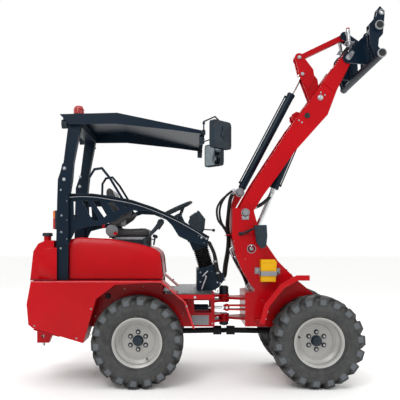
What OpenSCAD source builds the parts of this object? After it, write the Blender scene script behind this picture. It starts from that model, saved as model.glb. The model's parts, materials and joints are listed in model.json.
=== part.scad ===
// Compact articulated farmyard loader. Millimetres, +X forward, +Z up.
// Every place along X is counted from the articulation pivot, then moved by to_origin().

/* [Wheels] */
// Distance between the two axles
wheelbase = 1530; // [1500:10:1600]
// Distance between the middle planes of a left and a right tyre
track = 830; // [820:5:880]
// Diameter of a tyre over its lugs
tyre_d = 785; // [760:5:800]
// Width of a tyre
tyre_w = 260; // [230:5:264]
// Diameter over the rim flanges
rim_d = 425; // [410:5:440]
// Width between the outer faces of the rim flanges
rim_w = 228; // [200:2:240]
// Diameter of the wheel nut circle
nut_pcd = 150; // [140:2:170]
// Diameter of the stub shaft that a wheel turns on
stub_d = 60; // [50:1:70]
// Diameter of an axle tube
axle_d = 120; // [100:2:140]

/* [Frames] */
// Distance between the outer faces of the frame side plates
frame_w = 500; // [480:2:510]
// Thickness of the frame side plates
plate_t = 12; // [8:1:16]
// Height of the frames' lower edge
frame_low = 486; // [476:2:500]
// Height of the rear frame's upper edge
frame_top = 777; // [770:1:784]
// Distance from the articulation pivot back to the rear frame's end plate
rear_end = 99; // [90:1:110]
// Distance from the articulation pivot forward to the front frame's end plate
front_end = 173; // [168:1:190]
// Diameter of the articulation pins
pivot_d = 50; // [40:1:60]
// Thickness of the rear frame's pivot lugs
fork_t = 20; // [14:1:24]
// Thickness of the front frame's pivot lugs
tongue_t = 22; // [16:1:26]

/* [Bodywork] */
// Distance from the articulation pivot back to the tail
tail = 1692; // [1650:2:1740]
// Width over the rear skirt
skirt_w = 1040; // [1000:10:1060]
// Height of the skirt's deck
deck_z = 910; // [900:2:930]
// Height of the hood's top behind the seat
hood_top = 1280; // [1250:2:1310]
// Width of the hood under the seat
hood_w = 660; // [600:5:664]
// Width of the engine hood behind the posts
tail_hood_w = 860; // [780:5:900]
// Thickness of the bodywork sheet
sheet_t = 5; // [3:0.5:8]
// Height of the floor plate's top
floor_z = 805; // [800:1:820]
// Width of the floor plate
floor_w = 1000; // [900:10:1040]
// Width of the seat
seat_w = 440; // [380:5:480]
// Thickness of the seat cushion
cushion_t = 90; // [60:2:110]

/* [Cab frame] */
// Distance between the middles of the two posts
post_gap = 736; // [736:2:760]
// Width of a post, across the machine
post_w = 64; // [50:2:66]
// Height of the posts' top
post_top = 2300; // [2200:5:2310]
// Width of the canopy
canopy_w = 880; // [850:5:960]
// Height of the canopy's ridge
canopy_z = 2344; // [2340:1:2380]
// Distance from the articulation pivot back to the canopy's front edge
canopy_front = 189; // [150:1:260]
// Thickness of the guard beams' side plates
beam_t = 8; // [6:1:12]
// Width of the guard beams' top strip
beam_w = 60; // [40:2:70]
// Diameter of the steering wheel
steer_d = 340; // [300:5:360]

/* [Lifting arm] */
// Distance from the articulation pivot forward to the boom pivot
boom_x = 175; // [165:1:190]
// Height of the boom pivot
boom_z = 1500; // [1480:2:1520]
// Distance between the boom pivot and the hitch pivot
boom_len = 1663; // [1600:2:1720]
// Angle of the raised boom above the horizontal
boom_a = 56.4; // [50:0.2:60]
// Distance between the outer faces of the boom plates
boom_w = 444; // [420:2:446]
// Thickness of the boom plates
boom_t = 15; // [10:1:20]
// Diameter of the boom pivot pin
boom_pin_d = 45; // [35:1:50]
// Diameter of the lift cylinder's barrel
lift_d = 80; // [70:1:90]
// Diameter of the lift cylinder's rod
lift_rod_d = 45; // [35:1:50]
// Diameter of the tilt cylinder's barrel
tilt_d = 70; // [60:1:80]
// Diameter of the tilt cylinder's rod
tilt_rod_d = 36; // [28:1:40]
// Diameter of the pins of cylinders, bellcrank, link and hitch
pin_d = 36; // [28:1:38]
// Distance from the bellcrank's pivot to the link's pin
crank_len = 448; // [430:1:460]
// Overall width of the hitch
hitch_w = 1090; // [1040:5:1110]
// Diameter of the hitch's lower tube
hitch_tube_d = 70; // [60:1:76]

/* [Hidden] */
$fa = 6;
$fs = 1.5;

// Clearances
fit = 0.05;                       // radial clearance of a pin in its bore
seat_gap = 0.3;                   // gap between curved or soft faces that rest on each other
side_gap = 3;                     // gap beside an eye or a lug

// Driving points in the side view, [x, z] from the articulation pivot
axle_x = wheelbase / 2;
wheel_z = tyre_d / 2;
half = frame_w / 2;
inner = half - plate_t;
P = [boom_x, boom_z];                                   // boom pivot
function along(s, n) = P + s * [cos(boom_a), sin(boom_a)] + n * [-sin(boom_a), cos(boom_a)];
H = along(boom_len, 0);                                 // hitch pivot
B = along(0.6254 * boom_len, 15);                                    // lift cylinder's upper pin
C = along(boom_len - 431, 10);                          // bellcrank's pivot
crank_a = 109.6;                                        // angle of the bellcrank
K = C + crank_len * [cos(crank_a), sin(crank_a)];       // link's pin on the bellcrank
R = C + (crank_len - 154) * [cos(crank_a + 4.7), sin(crank_a + 4.7)];  // tilt rod's pin
M = H + [23, 271];                                      // link's pin on the hitch
A = P + [55, -322];                                     // lift cylinder's lower pin
T = P + [-30, 198];                                     // tilt cylinder's lower pin
tube_low = H + [190, -65];                              // hitch's lower tube
tube_high = H + [177, 177];                             // hitch's upper tube
upper_tube_d = hitch_tube_d;
hitch_tip = 229;                                        // from H forward to the hitch's foremost point
tow_out = 50;                                           // from the tail back to the tow bracket's end
mid_x = (H.x + hitch_tip - tail - tow_out) / 2;

// Steering cylinder, in plan
steer_z = 648;
steer_rear = [-480, -140];
steer_front = [15, -170];
steer_barrel_d = 56;
steer_rod_d = 28;
tilt_share = 0.84;                                      // of its length that the tilt cylinder's barrel takes

// Steering column, in the side view: its foot, lean and boot, the wheel's middle, the cross bar
column_foot = [-170, 1016];
column_a = 16;
boot_len = 168;
stand_w = 400;                                          // width of the column's foot box
wheel_hub = [-449, 1545];
steer_a = 25;
dash_bar = [-215, 1245];
pod_foot = [[-206, 1310], [-255, 1330]];

// Pivot lugs: lower faces of each rear lug, and of the front lug between each pair
fork_z = [503, 553, 685, 735];
tongue_z = [fork_z[0] + fork_t + (fork_z[1] - fork_z[0] - fork_t - tongue_t) / 2,
            fork_z[2] + fork_t + (fork_z[3] - fork_z[2] - fork_t - tongue_t) / 2];
lug_r = 50;
mirror_size = 230;                                      // height and width of a mirror's housing
lugs = 18;                                              // tyre lugs on each side
pitch = 360 / lugs;
flank = 1.3;                                            // angle that a lug's flank takes

// Side view of the hood, the arch over the rear wheel, and the canopy's ridge line
hood_line = [[-1377, hood_top - 18], [-1279, hood_top], [-1020, hood_top - 12],
             [-750, hood_top - 61], [-628, hood_top - 98], [-579, hood_top - 136]];
arch = [[-axle_x - 457, 391], [-axle_x - 349, 761], [-axle_x - 189, deck_z - 27],
        [-axle_x + 207, deck_z], [-axle_x + 399, 739], [-axle_x + 475, 519]];
roof_line = [[-1431, canopy_z - 12], [-943, canopy_z], [-canopy_front, canopy_z - 157]];
roof_side = [[-1431, canopy_z - 12], [-1356, canopy_z - 98], [-957, canopy_z - 95],
             [-465, canopy_z - 148], [-canopy_front - 19, canopy_z - 182],
             [-canopy_front, canopy_z - 157], [-943, canopy_z]];

// Tower's rear edge from the top down, and its front edge from the bottom up
tower_rear = [P + [-114, 47], P + [-119, -208], [92, 1116], [142, 992], [218, 867], [258, 820],
              [250, 784], [front_end, 770]];
tower_front = [[axle_x + 95, frame_low], [axle_x + 95, 700], [axle_x + 2, 791],
               [axle_x - 135, 904], [467, 1066], P + [180, -271], P + [105, -96], P + [74, 22]];

// ---- helpers -----------------------------------------------------------------------------

module to_origin() { translate([-mid_x, 0, 0]) children(); }

// A side-view outline, thickened from y0 to y1
module slab(y0, y1) { translate([0, y1, 0]) rotate([90, 0, 0]) linear_extrude(y1 - y0) children(); }

// The same on both sides of the machine
module pair(y0, y1) {
    slab(y0, y1) children();
    slab(-y1, -y0) children();
}

// A round bar across the machine, at a side-view point
module bar_y(p, r, y0, y1) { translate([p.x, y1, p.y]) rotate([90, 0, 0]) cylinder(r = r, h = y1 - y0); }

// A side-view disc
module disc(p, r) { translate(p) circle(r); }

// A round bar between two points
module strut(a, b, r) {
    d = b - a;
    translate(a)
        rotate([0, acos(d.z / norm(d)), atan2(d.y, d.x)])
            cylinder(r = r, h = norm(d));
}

// A block from its low corner to its high corner
module block(a, b) { translate(a) cube(b - a); }

// Mirrored copies at +Y and -Y
module sides() {
    children();
    mirror([0, 1, 0]) children();
}

// An outline moved inwards by d; it runs anticlockwise
function inset(p, d) = [for (i = [0:len(p) - 1])
    let (n = len(p), a = p[(i + n - 1) % n], b = p[i], c = p[(i + 1) % n],
         u = (b - a) / norm(b - a), v = (c - b) / norm(c - b),
         s = [-u.y, u.x], t = [-v.y, v.x])
    b + (s + t) * d / (1 + s * t)];

// An open line moved to its left by d
function beside(p, d) = [for (i = [0:len(p) - 1])
    let (a = p[max(i - 1, 0)], b = p[i], c = p[min(i + 1, len(p) - 1)],
         u = i == 0 ? (c - b) / norm(c - b) : (b - a) / norm(b - a),
         v = i == len(p) - 1 ? u : (c - b) / norm(c - b),
         s = [-u.y, u.x], t = [-v.y, v.x])
    b + (s + t) * d / (1 + s * t)];

function back(p) = [for (i = [len(p) - 1:-1:0]) p[i]];

// A strip of thickness d on the left of an open line
module strip(line, d) { polygon(concat(line, back(beside(line, d)))); }

// ---- rear frame --------------------------------------------------------------------------

module fork_lug(z, t, end, w) {
    translate([0, 0, z]) linear_extrude(t) difference() {
        union() {
            circle(lug_r);
            polygon([[0, -lug_r + 2], [end, -w], [end, w], [0, lug_r - 2]]);
        }
        circle(pivot_d / 2);
    }
}

module rear_chassis() {
    window = [[-281, 608], [-131, 608], [-131, 719], [-281, 719]];
    side = [[-1560, frame_low + 60], [-1500, frame_low], [-rear_end, frame_low],
            [-rear_end, frame_top], [-1560, frame_top]];
    tow_hook = [[-tail - tow_out, 300], [-tail + 60, 300], [-tail + 100, 400], [-1500, 500],
                [-1500, 560], [-1560, 556], [-tail + 52, 440], [-tail - tow_out, 420]];
    color("firebrick") to_origin() {
        pair(inner, half) difference() {
            polygon(side);
            polygon(window);
        }
        // end plate above and below the steering cylinder
        block([-rear_end - plate_t, -inner, frame_low], [-rear_end, inner, 600]);
        block([-rear_end - plate_t, -inner, 682], [-rear_end, inner, frame_top]);
        // cross plates
        for (x = [-1500, -560])
            block([x, -inner, frame_low], [x + plate_t, inner, frame_top]);
        // axle pads
        sides() block([-axle_x - 80, 150, frame_low - 16], [-axle_x + 80, half, frame_low]);
        for (z = fork_z) fork_lug(z, fork_t, -rear_end - 1, 130);
        // steering cylinder's rear lugs
        for (z = [steer_z - 24, steer_z + 12]) translate([0, 0, z]) linear_extrude(12) difference() {
            union() {
                translate(steer_rear) circle(30);
                polygon([[-549, -180], steer_rear + [0, -30], steer_rear + [0, 30], [-549, -100]]);
            }
            translate(steer_rear) circle(12);
        }
        translate(concat(steer_rear, [steer_z - 28])) cylinder(r = 12, h = 56);
        // tow bracket
        slab(-30, 30) difference() {
            polygon(tow_hook);
            disc([-tail + 5, 360], 16);
        }
    }
}

// An axle at x: tube, centre case, pads up to the frame, hub flanges and stub shafts
module axle(x) {
    disc_y = track / 2;
    translate([x, 0, wheel_z]) {
        rotate([90, 0, 0]) cylinder(d = axle_d, h = track - 80, center = true);
        rotate([90, 0, 0]) cylinder(d = stub_d - 2 * fit, h = track + 50, center = true);
        rotate([90, 0, 0]) cylinder(r = 88, h = 190, center = true);
        for (s = [-1, 1])
            translate([0, s * (disc_y - 10 - 12), 0]) rotate([90, 0, 0]) cylinder(r = 92, h = 20, center = true);
    }
    sides() block([x - 60, 160, wheel_z], [x + 60, 230, frame_low - 16]);
}

module rear_axle() {
    color("dimgray") to_origin() {
        axle(-axle_x);
        strut([-axle_x, 0, wheel_z + 10], [-40, 0, wheel_z + 22], 26);
        strut([-100, 0, wheel_z + 21], [-24, 0, wheel_z + 22], 42);
    }
}

module front_axle() {
    color("dimgray") to_origin() {
        axle(axle_x);
        strut([axle_x, 0, wheel_z + 10], [40, 0, wheel_z + 22], 26);
        strut([100, 0, wheel_z + 21], [24, 0, wheel_z + 22], 42);
    }
}

module engine() {
    color("gray") to_origin() {
        block([-1350, -200, 560], [-900, 200, 1100]);
        for (x = [-1290, -960])
            block([x - 40, -inner, 640], [x + 40, inner, 680]);
    }
}

module rear_skirt() {
    w = skirt_w / 2;
    rear = [[-tail + 36, deck_z], [-tail, 717], [-tail + 15, 546], [-tail + 53, 514]];
    deck_rear = -tail + 38;
    deck_front = arch[3].x + 3;
    color("firebrick") to_origin() {
        // outer side walls, behind and above the wheel
        pair(w - sheet_t, w) polygon(concat(rear, [arch[0], arch[1], arch[2], arch[3] - [0, 8], arch[3]]));
        // flange in front of the wheel
        pair(w - 45, w) strip([arch[3], arch[4], arch[5]], -8);
        // mudguard from the frame out to the side wall
        pair(half + 3, w - 1) strip([arch[0], arch[1], arch[2], arch[3]], -sheet_t);
        pair(half + 3, w - 40) strip([arch[3], arch[4], arch[5]], -sheet_t);
        // inner wall between the frame and the deck
        pair(half, half + 5) polygon([[-tail + 45, deck_z - 1], [-tail + 20, 717], [-1560, 640], [-1500, frame_top - 60],
                                      [-560, frame_top - 60], [-560, deck_z - 1]]);
        // rear wall, and the deck round the engine's opening
        slab(-w + 1, w - 1) strip(rear, sheet_t);
        translate([0, 0, deck_z - sheet_t]) linear_extrude(sheet_t - 0.5)
            polygon([[deck_rear, 1 - w], [deck_front, 1 - w], [deck_front, -half], [-1480, -half],
                     [-1480, half], [deck_front, half], [deck_front, w - 1], [deck_rear, w - 1]]);
    }
}

module hoods() {
    w = hood_w / 2;
    v = tail_hood_w / 2;
    seat_outline = concat([[-1366, deck_z], [-560, deck_z], [-554, deck_z + 26]], back(hood_line));
    tail_outline = [[-1484, deck_z], [-1484, hood_top - 31], [-1552, hood_top - 25], [-1619, hood_top - 55],
                    [-1661, hood_top - 121], [-1688, deck_z]];
    color("firebrick") to_origin() {
        difference() {
            slab(-w, w) polygon(seat_outline);
            slab(-w + sheet_t, w - sheet_t)
                polygon(concat([[-1361, deck_z - 1], [-566, deck_z - 1]], [[-560, deck_z + 26]],
                               back(beside(hood_line, -sheet_t))));
        }
        difference() {
            slab(-v, v) polygon(tail_outline);
            slab(-v + sheet_t, v - sheet_t)
                polygon([[-1479.5, deck_z - 1], [-1479.5, hood_top - 36.5], [-1550, hood_top - 30],
                         [-1615, hood_top - 59], [-1656, hood_top - 122], [-1682, deck_z - 1]]);
        }
        // fuel filler neck and cap
        translate([-1583, -w + 70, hood_top - 60]) cylinder(r = 32, h = 75);
        translate([-1583, -w + 70, hood_top + 10]) cylinder(r = 40, h = 30);
    }
}

module floor_plate() {
    w = floor_w / 2;
    color("silver") to_origin() {
        block([-556, -half, floor_z - 8], [-123, half, floor_z]);
        sides() block([-425, half - 1, floor_z - 8], [-123, w, floor_z]);
        sides() block([-540, inner, frame_top], [-rear_end - 10, half, floor_z - 7]);
    }
}

// Height of the hood's top at x
function hood_at(x) = lookup(x, hood_line);

module seat_base() {
    w = seat_w / 2 - 20;
    color("dimgray") to_origin() {
        slab(-w, w) polygon([[-1015, hood_at(-1015) + seat_gap], [-750, hood_at(-750) + seat_gap],
                             [-690, hood_at(-690) + seat_gap],
                             [-690, hood_top + 10], [-1015, hood_top + 10]]);
        // control lever in its boot
        strut([-712, -w - 45, hood_at(-712) + 14], [-672, -w - 45, hood_at(-712) + 95], 14);
        strut([-672, -w - 45, hood_at(-712) + 90], [-600, -w - 45, hood_at(-712) + 160], 9);
        strut([-605, -w - 45, hood_at(-712) + 150], [-560, -w - 45, hood_at(-712) + 215], 18);
        difference() {
            translate([-712, -w - 45, hood_at(-712) - 14]) cylinder(r1 = 48, r2 = 24, h = 76);
            slab(-hood_w, hood_w) polygon([[-1020, hood_at(-1020) + seat_gap], [-1020, 900], [-628, 900],
                                           [-628, hood_at(-628) + seat_gap], [-750, hood_at(-750) + seat_gap]]);
        }
    }
}

module seat_cushion() {
    z = hood_top + 10 + seat_gap;
    color("black") to_origin()
        slab(-seat_w / 2, seat_w / 2)
            polygon([[-1010, z], [-690, z], [-672, z + 25], [-678, z + cushion_t - 20],
                     [-700, z + cushion_t - 6], [-1010, z + cushion_t]]);
}

module seat_back() {
    z = hood_top + 10 + cushion_t + 2 * seat_gap;
    color("black") to_origin() {
        slab(-seat_w / 2, seat_w / 2)
            polygon([[-1000, z], [-930, z], [-925, z + 60], [-990, z + 290], [-1020, z + 350],
                     [-1060, z + 360], [-1085, z + 330], [-1075, z + 200], [-1040, z + 20]]);
        // hinge brackets down to the seat base
        sides() slab(seat_w / 2 + 1, seat_w / 2 + 9)
            polygon([[-1040, hood_top - 5], [-990, hood_top - 5], [-990, z + 60], [-1040, z + 60]]);
        sides() bar_y([-1012, z + 30], 14, seat_w / 2 - 10, seat_w / 2 + 5);
        sides() bar_y([-1012, hood_top], 10, seat_w / 2 - 20, seat_w / 2 + 5);
    }
}

module post_frame() {
    y0 = post_gap / 2 - post_w / 2;
    y1 = post_gap / 2 + post_w / 2;
    post = [[-1480, deck_z], for (z = [deck_z, 1586, 1779, 1924, 2204]) [post_face(z), z],
            [-1256, post_top], [-1360, post_top], [-1374, 2204], [-1410, 1924], [-1459, 1779], [-1465, 1586]];
    color("black") to_origin() {
        pair(y0, y1) polygon(post);
        block([-1360, -y0 - 1, post_top - 65], [-1258, y0 + 1, post_top]);
    }
}

module canopy() {
    w = canopy_w / 2;
    color("black") to_origin() {
        pair(w - sheet_t, w) polygon(roof_side);
        slab(-w + sheet_t / 2, w - sheet_t / 2) strip(roof_line, -sheet_t);
        // risers on the cross beam
        sides() block([-1340, 280, post_top], [-1270, 350, canopy_z - 14]);
    }
}

// Front edge of a post at height z, and its rear edge
function post_face(z) = lookup(z, [[deck_z, -1374], [1586, -1368], [1779, -1337], [1924, -1325], [2204, -1271]]);
function post_rear(z) = lookup(z, [[deck_z, -1480], [1586, -1465], [1779, -1459]]);

// Underside of the canopy's roof at x
function roof_under(x) = lookup(x, roof_line) - 1.03 * sheet_t;

module guard_beams() {
    y = post_gap / 2;
    top = [[post_face(1658) + seat_gap, 1658], [-1162, 1658], [-1016, 1640], [-821, 1603], [-638, 1542], [-455, 1462],
           [-272, 1359], [-150, 1286]];
    low = [[-175, 1207], [-260, 1230], [-345, 1256], [-419, 1291], [-480, 1389], [-553, 1462],
           [-675, 1511], [-797, 1517], [-882, 1487], [-967, 1426], [-1065, 1389], [-1206, 1374],
           [-1310, 1347], [post_face(1222) + seat_gap, 1222], [post_face(1586) + seat_gap, 1586]];
    windows = [[[-1330, 1590], [-1308, 1590], [-1296, 1440], [-1326, 1440]],
               [[-1255, 1596], [-1205, 1594], [-1105, 1425], [-1165, 1425]],
               [[-1165, 1598], [-1105, 1594], [-1035, 1480], [-1065, 1452]],
               [[-1030, 1580], [-975, 1580], [-935, 1520], [-980, 1500]],
               [[-895, 1562], [-840, 1548], [-870, 1534]]];
    color("black") to_origin() {
        pair(y - 4 - beam_t / 2, y - 4 + beam_t / 2) difference() {
            polygon(concat(top, low));
            for (w = windows) polygon(w);
        }
        pair(y - 4 - beam_w / 2, y - 4 + beam_w / 2) strip(top, -8);
        // cross bar that carries the steering column
        bar_y(dash_bar, 18, -y, y);
        // grab rails
        for (s = [-1, 1]) {
            rail = [[-1195, s * 330, s > 0 ? 1652 : 1812], [-1190, s * 330, 1820], [-1155, s * 330, 1875], [-1090, s * 330, 1885],
                    [-1020, s * 340, 1800], [-905, s * 352, 1612]];
            for (i = [0:len(rail) - 2]) strut(rail[i], rail[i + 1], 11);
            for (i = [0:len(rail) - 2]) translate(rail[i]) sphere(11.5);
        }
    }
}

// The point at distance s up the steering column's lower tube, and one n across it
function column(s, n = 0) = column_foot + s * [-sin(column_a), cos(column_a)] + n * [cos(column_a), sin(column_a)];

module column_stand() {
    stand = [[-257, floor_z], [-103, floor_z], [-60, floor_z + 26], [-8, 900], [-20, 946],
             column(0, 77), column(0, -90)];
    inside = inset(stand, 6);
    cover = [column(boot_len + 1, -74), column(boot_len + 1, 74), [-160, 1240], pod_foot[0], pod_foot[1], [-335, 1262]];
    color("black") to_origin() {
        difference() {
            slab(-stand_w / 2, stand_w / 2) polygon(stand);
            slab(6 - stand_w / 2, stand_w / 2 - 6) polygon(inside);
        }
        // lower tube inside the boot, and the shroud round the cross bar
        translate([column_foot.x, 0, column_foot.y]) rotate([0, -column_a, 0])
            translate([0, 0, -8]) cylinder(r = 24, h = boot_len + 30);
        difference() {
            slab(-60, 60) polygon(cover);
            bar_y(dash_bar, 18 + seat_gap, -61, 61);
        }
        // upper column and the steering shaft's end
        translate([wheel_hub.x, 0, wheel_hub.y]) rotate([0, -steer_a, 0]) {
            translate([0, 0, -330]) cylinder(r = 26, h = 330 - 78);
            translate([0, 0, -90]) cylinder(r = 12 - fit, h = 32);
        }
    }
}

module column_boot() {
    n = 9;
    step = (boot_len - 2 * seat_gap) / n;
    r = 24 + seat_gap;
    color("black") to_origin()
        translate([column_foot.x, 0, column_foot.y]) rotate([0, -column_a, 0])
            translate([0, 0, seat_gap]) rotate_extrude()
                polygon(concat([[r, 0]], [for (i = [0:n - 1]) each [[62, i * step], [76, (i + 0.5) * step]]],
                               [[62, n * step], [r, n * step]]));
}

module dash_pod() {
    pod = [[-335, 1420], pod_foot[1], pod_foot[0], [-184, 1358], [-175, 1450], [-237, 1530], [-316, 1470]];
    color("black") to_origin() difference() {
        slab(-85, 85) polygon(pod);
        slab(-80, 80) polygon(inset(pod, 5));
    }
}

module steering_wheel() {
    color("black") to_origin()
        translate([wheel_hub.x, 0, wheel_hub.y]) rotate([0, -steer_a, 0]) difference() {
            union() {
                rotate_extrude() translate([steer_d / 2 - 13, 0]) circle(13);
                for (a = [60, 180, 300])
                    rotate([0, 0, a]) rotate([90, 0, 0]) translate([0, 0, -14]) linear_extrude(28)
                        polygon([[20, -60], [60, -58], [steer_d / 2 - 14, -6], [steer_d / 2 - 14, 4], [56, -48], [20, -50]]);
                translate([0, 0, -75]) cylinder(r = 34, h = 28);
            }
            translate([0, 0, -80]) cylinder(r = 12, h = 24);
        }
}

module mirrors() {
    m = mirror_size / 2;
    c = m - 30;
    color("black") to_origin() for (s = [-1, 1]) {
        translate([-64, s * 520, 2137]) rotate([0, 0, s * 45]) rotate([0, 90, 0]) translate([0, 0, -22])
            linear_extrude(44) polygon([[-m, -c], [-c, -m], [c, -m], [m, -c], [m, c], [c, m], [-c, m], [-m, c]]);
        arm = [[-canopy_front - 14, s * (canopy_w / 2 + 25), canopy_z - 180],
               [-canopy_front - 14, s * (canopy_w / 2 + 40), canopy_z - 85],
               [-canopy_front + 80, s * 500, canopy_z - 48],
               [-70, s * 510, canopy_z - 90], [-60, s * 515, 2230]];
        for (i = [0:len(arm) - 2])
            strut(arm[i], arm[i + 1] + 5 * (arm[i + 1] - arm[i]) / norm(arm[i + 1] - arm[i]), 6 + 0.2 * i);
        y0 = s > 0 ? canopy_w / 2 : -canopy_w / 2 - 36;
        block([-canopy_front - 34, y0, canopy_z - 182], [-canopy_front - 5, y0 + 36, canopy_z - 157]);
    }
}

module lamps() {
    lamp_x = -canopy_front - 40;
    beacon_z = lookup(-1357 + 42, roof_line) + seat_gap;
    color("orangered") to_origin() {
        // beacon
        translate([-1357, 0, beacon_z]) cylinder(r = 42, h = canopy_z + 94 - beacon_z);
        translate([-1357, 0, canopy_z + 93]) intersection() {
            cylinder(r = 48, h = 76);
            translate([0, 0, 20]) sphere(54);
        }
        // work lamps under the canopy's ends
        sides() {
            translate([-1425, 380, canopy_z - 85]) rotate([0, 90, 0]) cylinder(r = 38, h = 46);
            slab(370, 390) polygon([[-1415, canopy_z - 60], [-1390, canopy_z - 60],
                                    [-1390, roof_under(-1390) - seat_gap], [-1415, roof_under(-1415) - seat_gap]]);
            translate([-canopy_front - 50, 380, canopy_z - 218]) rotate([0, 90, 0]) cylinder(r = 38, h = 44);
            slab(370, 390) polygon([[lamp_x, canopy_z - 190], [lamp_x + 25, canopy_z - 190],
                                    [lamp_x + 25, roof_under(lamp_x + 25) - seat_gap],
                                    [lamp_x, roof_under(lamp_x) - seat_gap]]);
            // tail lamps behind the posts
            slab(345, 391) polygon([[-1496, 1350], [post_rear(1350) - seat_gap, 1350],
                                    [post_rear(1510) - seat_gap, 1510], [-1496, 1510]]);
        }
    }
}

module pivot_pins() {
    color("black") to_origin() {
        for (i = [0, 2]) {
            z0 = fork_z[i];
            z1 = fork_z[i + 1] + fork_t;
            translate([0, 0, z0]) cylinder(d = pivot_d - 2 * fit, h = z1 - z0);
            if (i == 2) translate([0, 0, z1]) cylinder(r = 43, h = 68);
            if (i == 0) translate([0, 0, z0 - 32]) cylinder(r = 43, h = 32);
        }
    }
}

// ---- front frame -------------------------------------------------------------------------

module front_chassis() {
    outline = concat([[front_end, frame_low]], tower_front, tower_rear);
    fender = [[306, 544], [347, 697], [471, 851], [590, 918], [690, 918]];
    color("firebrick") to_origin() {
        pair(inner, half) difference() {
            polygon(outline);
            disc(P + [-45, -188], 12);
            disc(A, 33);
        }
        // rear wall of the tower and end plate
        slab(-inner - 1, inner + 1) strip([for (i = [0:6]) tower_rear[i]], 10);
        block([front_end, -inner - 1, frame_low], [front_end + plate_t, inner + 1, 784]);
        slab(-inner - 1, inner + 1) polygon([[front_end, 770], [250, 784], [258, 796], [front_end, 784]]);
        // floor and nose
        block([front_end + 1, -inner - 1, frame_low], [axle_x + 95, inner + 1, frame_low + 10]);
        block([axle_x + 83, -inner - 1, frame_low], [axle_x + 95, inner + 1, 600]);
        // axle pads
        sides() block([axle_x - 80, 150, frame_low - 16], [axle_x + 80, half, frame_low + 1]);
        for (z = tongue_z) fork_lug(z, tongue_t, front_end + 1, 130);
        // steering cylinder's front lugs
        for (z = [steer_z - 24, steer_z + 12]) translate([0, 0, z]) linear_extrude(12)
            union() {
                translate(steer_front) circle(32);
                polygon([steer_front + [0, -32], [front_end + 1, -215], [front_end + 1, -125], steer_front + [0, 32]]);
            }
        for (z = [steer_z - 32, steer_z + 24]) translate(concat(steer_front, [z])) cylinder(r = 16, h = 8);
        // pins of the boom and of the tilt cylinder
        bar_y(P, boom_pin_d / 2 - fit, -half - 12, half + 12);
        bar_y(T, pin_d / 2 - fit, -50, 50);
        pair(32, 47) union() {
            disc(T, 38);
            polygon([tower_rear[0] + [1, -160], tower_rear[0] + [1, 10], T + [-36, 12], T + [34, -16],
                     tower_rear[0] + [40, 0], tower_rear[0] + [9, -160]]);
        }
        // mudguards with a rolled outer lip
        pair(half - 1, 500) strip(fender, 6);
        pair(494, 500) strip(fender, 40);
    }
}

module front_lamps() {
    color("black") to_origin() sides() {
        slab(305, 375) polygon([[240, 1385], [262, 1230], [300, 1183], [335, 1190], [350, 1290], [344, 1388]]);
        strut([130, half + 4, P.y - 188], [262, 312, 1370], 6);
        translate([P.x - 45, half + 8, P.y - 188]) rotate([90, 0, 0]) cylinder(r = 11, h = 20);
    }
}

module wheel_chock() {
    color("gold") to_origin()
        slab(-half - 82, -half) polygon([[303, 890], [430, 890], [440, 1060], [425, 1085], [303, 1085]]);
}

// ---- wheels ------------------------------------------------------------------------------

// Places a wheel: front is 1 or -1, side is 1 for left
module at_wheel(front, side) {
    to_origin() translate([front * axle_x, side * track / 2, wheel_z]) rotate([-90 * side, 0, 0]) children();
}

module rim() {
    r = rim_d / 2;
    w = rim_w / 2;
    bead = r - 18;
    well = bead - 28;
    outer = [[r, -w], [r, -w + 7], [bead, -w + 7], [bead, -40], [well, -25], [well, 20],
             [bead, 40], [bead, w - 7], [r, w - 7], [r, w]];
    color("silver") difference() {
        union() {
            rotate_extrude() polygon(concat(outer, [[r - 6, w], [bead - 5, w - 10], [bead - 5, 42], [well - 5, 22],
                                                    [well - 5, -27], [bead - 5, -42], [bead - 5, -w + 10], [r - 6, -w]]));
            rotate_extrude() polygon([[stub_d / 2, -10], [144, -10], [157, 4], [well - 2, 4], [well - 2, 14],
                                      [149, 14], [140, -2], [stub_d / 2, -2]]);
        }
        for (a = [30:60:330]) rotate([0, 0, a]) translate([nut_pcd / 2, 0, -11]) cylinder(r = 8, h = 12);
    }
}

// A point of ring q = [lug's radius, side, valley's radius, side, lug's half angle, sweep]: t runs 0 to 3 over
// a lug's two edges and the valley's two, turned by a
function tread_point(q, t, a) =
    let (r = t < 2 ? q[0] : q[2], z = t < 2 ? q[1] : q[3],
         at = a + q[5] + [-q[4], q[4], q[4] + flank, pitch - q[4] - flank][t])
    [r * cos(at), r * sin(at), z];

// Triangles between rings of n points that start at a and b, where b's points run s places on
function band(n, a, b, s = 0) = [for (j = [0:n - 1]) let (k = (j + 1) % n, p = b + (j + s) % n, o = b + (k + s) % n)
    each [[a + j, p, o], [a + j, o, a + k]]];

// Triangles between a ring of 2n points at a and one of n points at b
function half_band(n, a, b) = [for (j = [0:n - 1]) let (k = (j + 1) % n, p = a + 2 * j, o = a + 2 * k)
    each [[p, b + j, p + 1], [p + 1, b + j, b + k], [p + 1, b + k, o]]];
function flip(faces) = [for (f = faces) [f[0], f[2], f[1]]];

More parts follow.
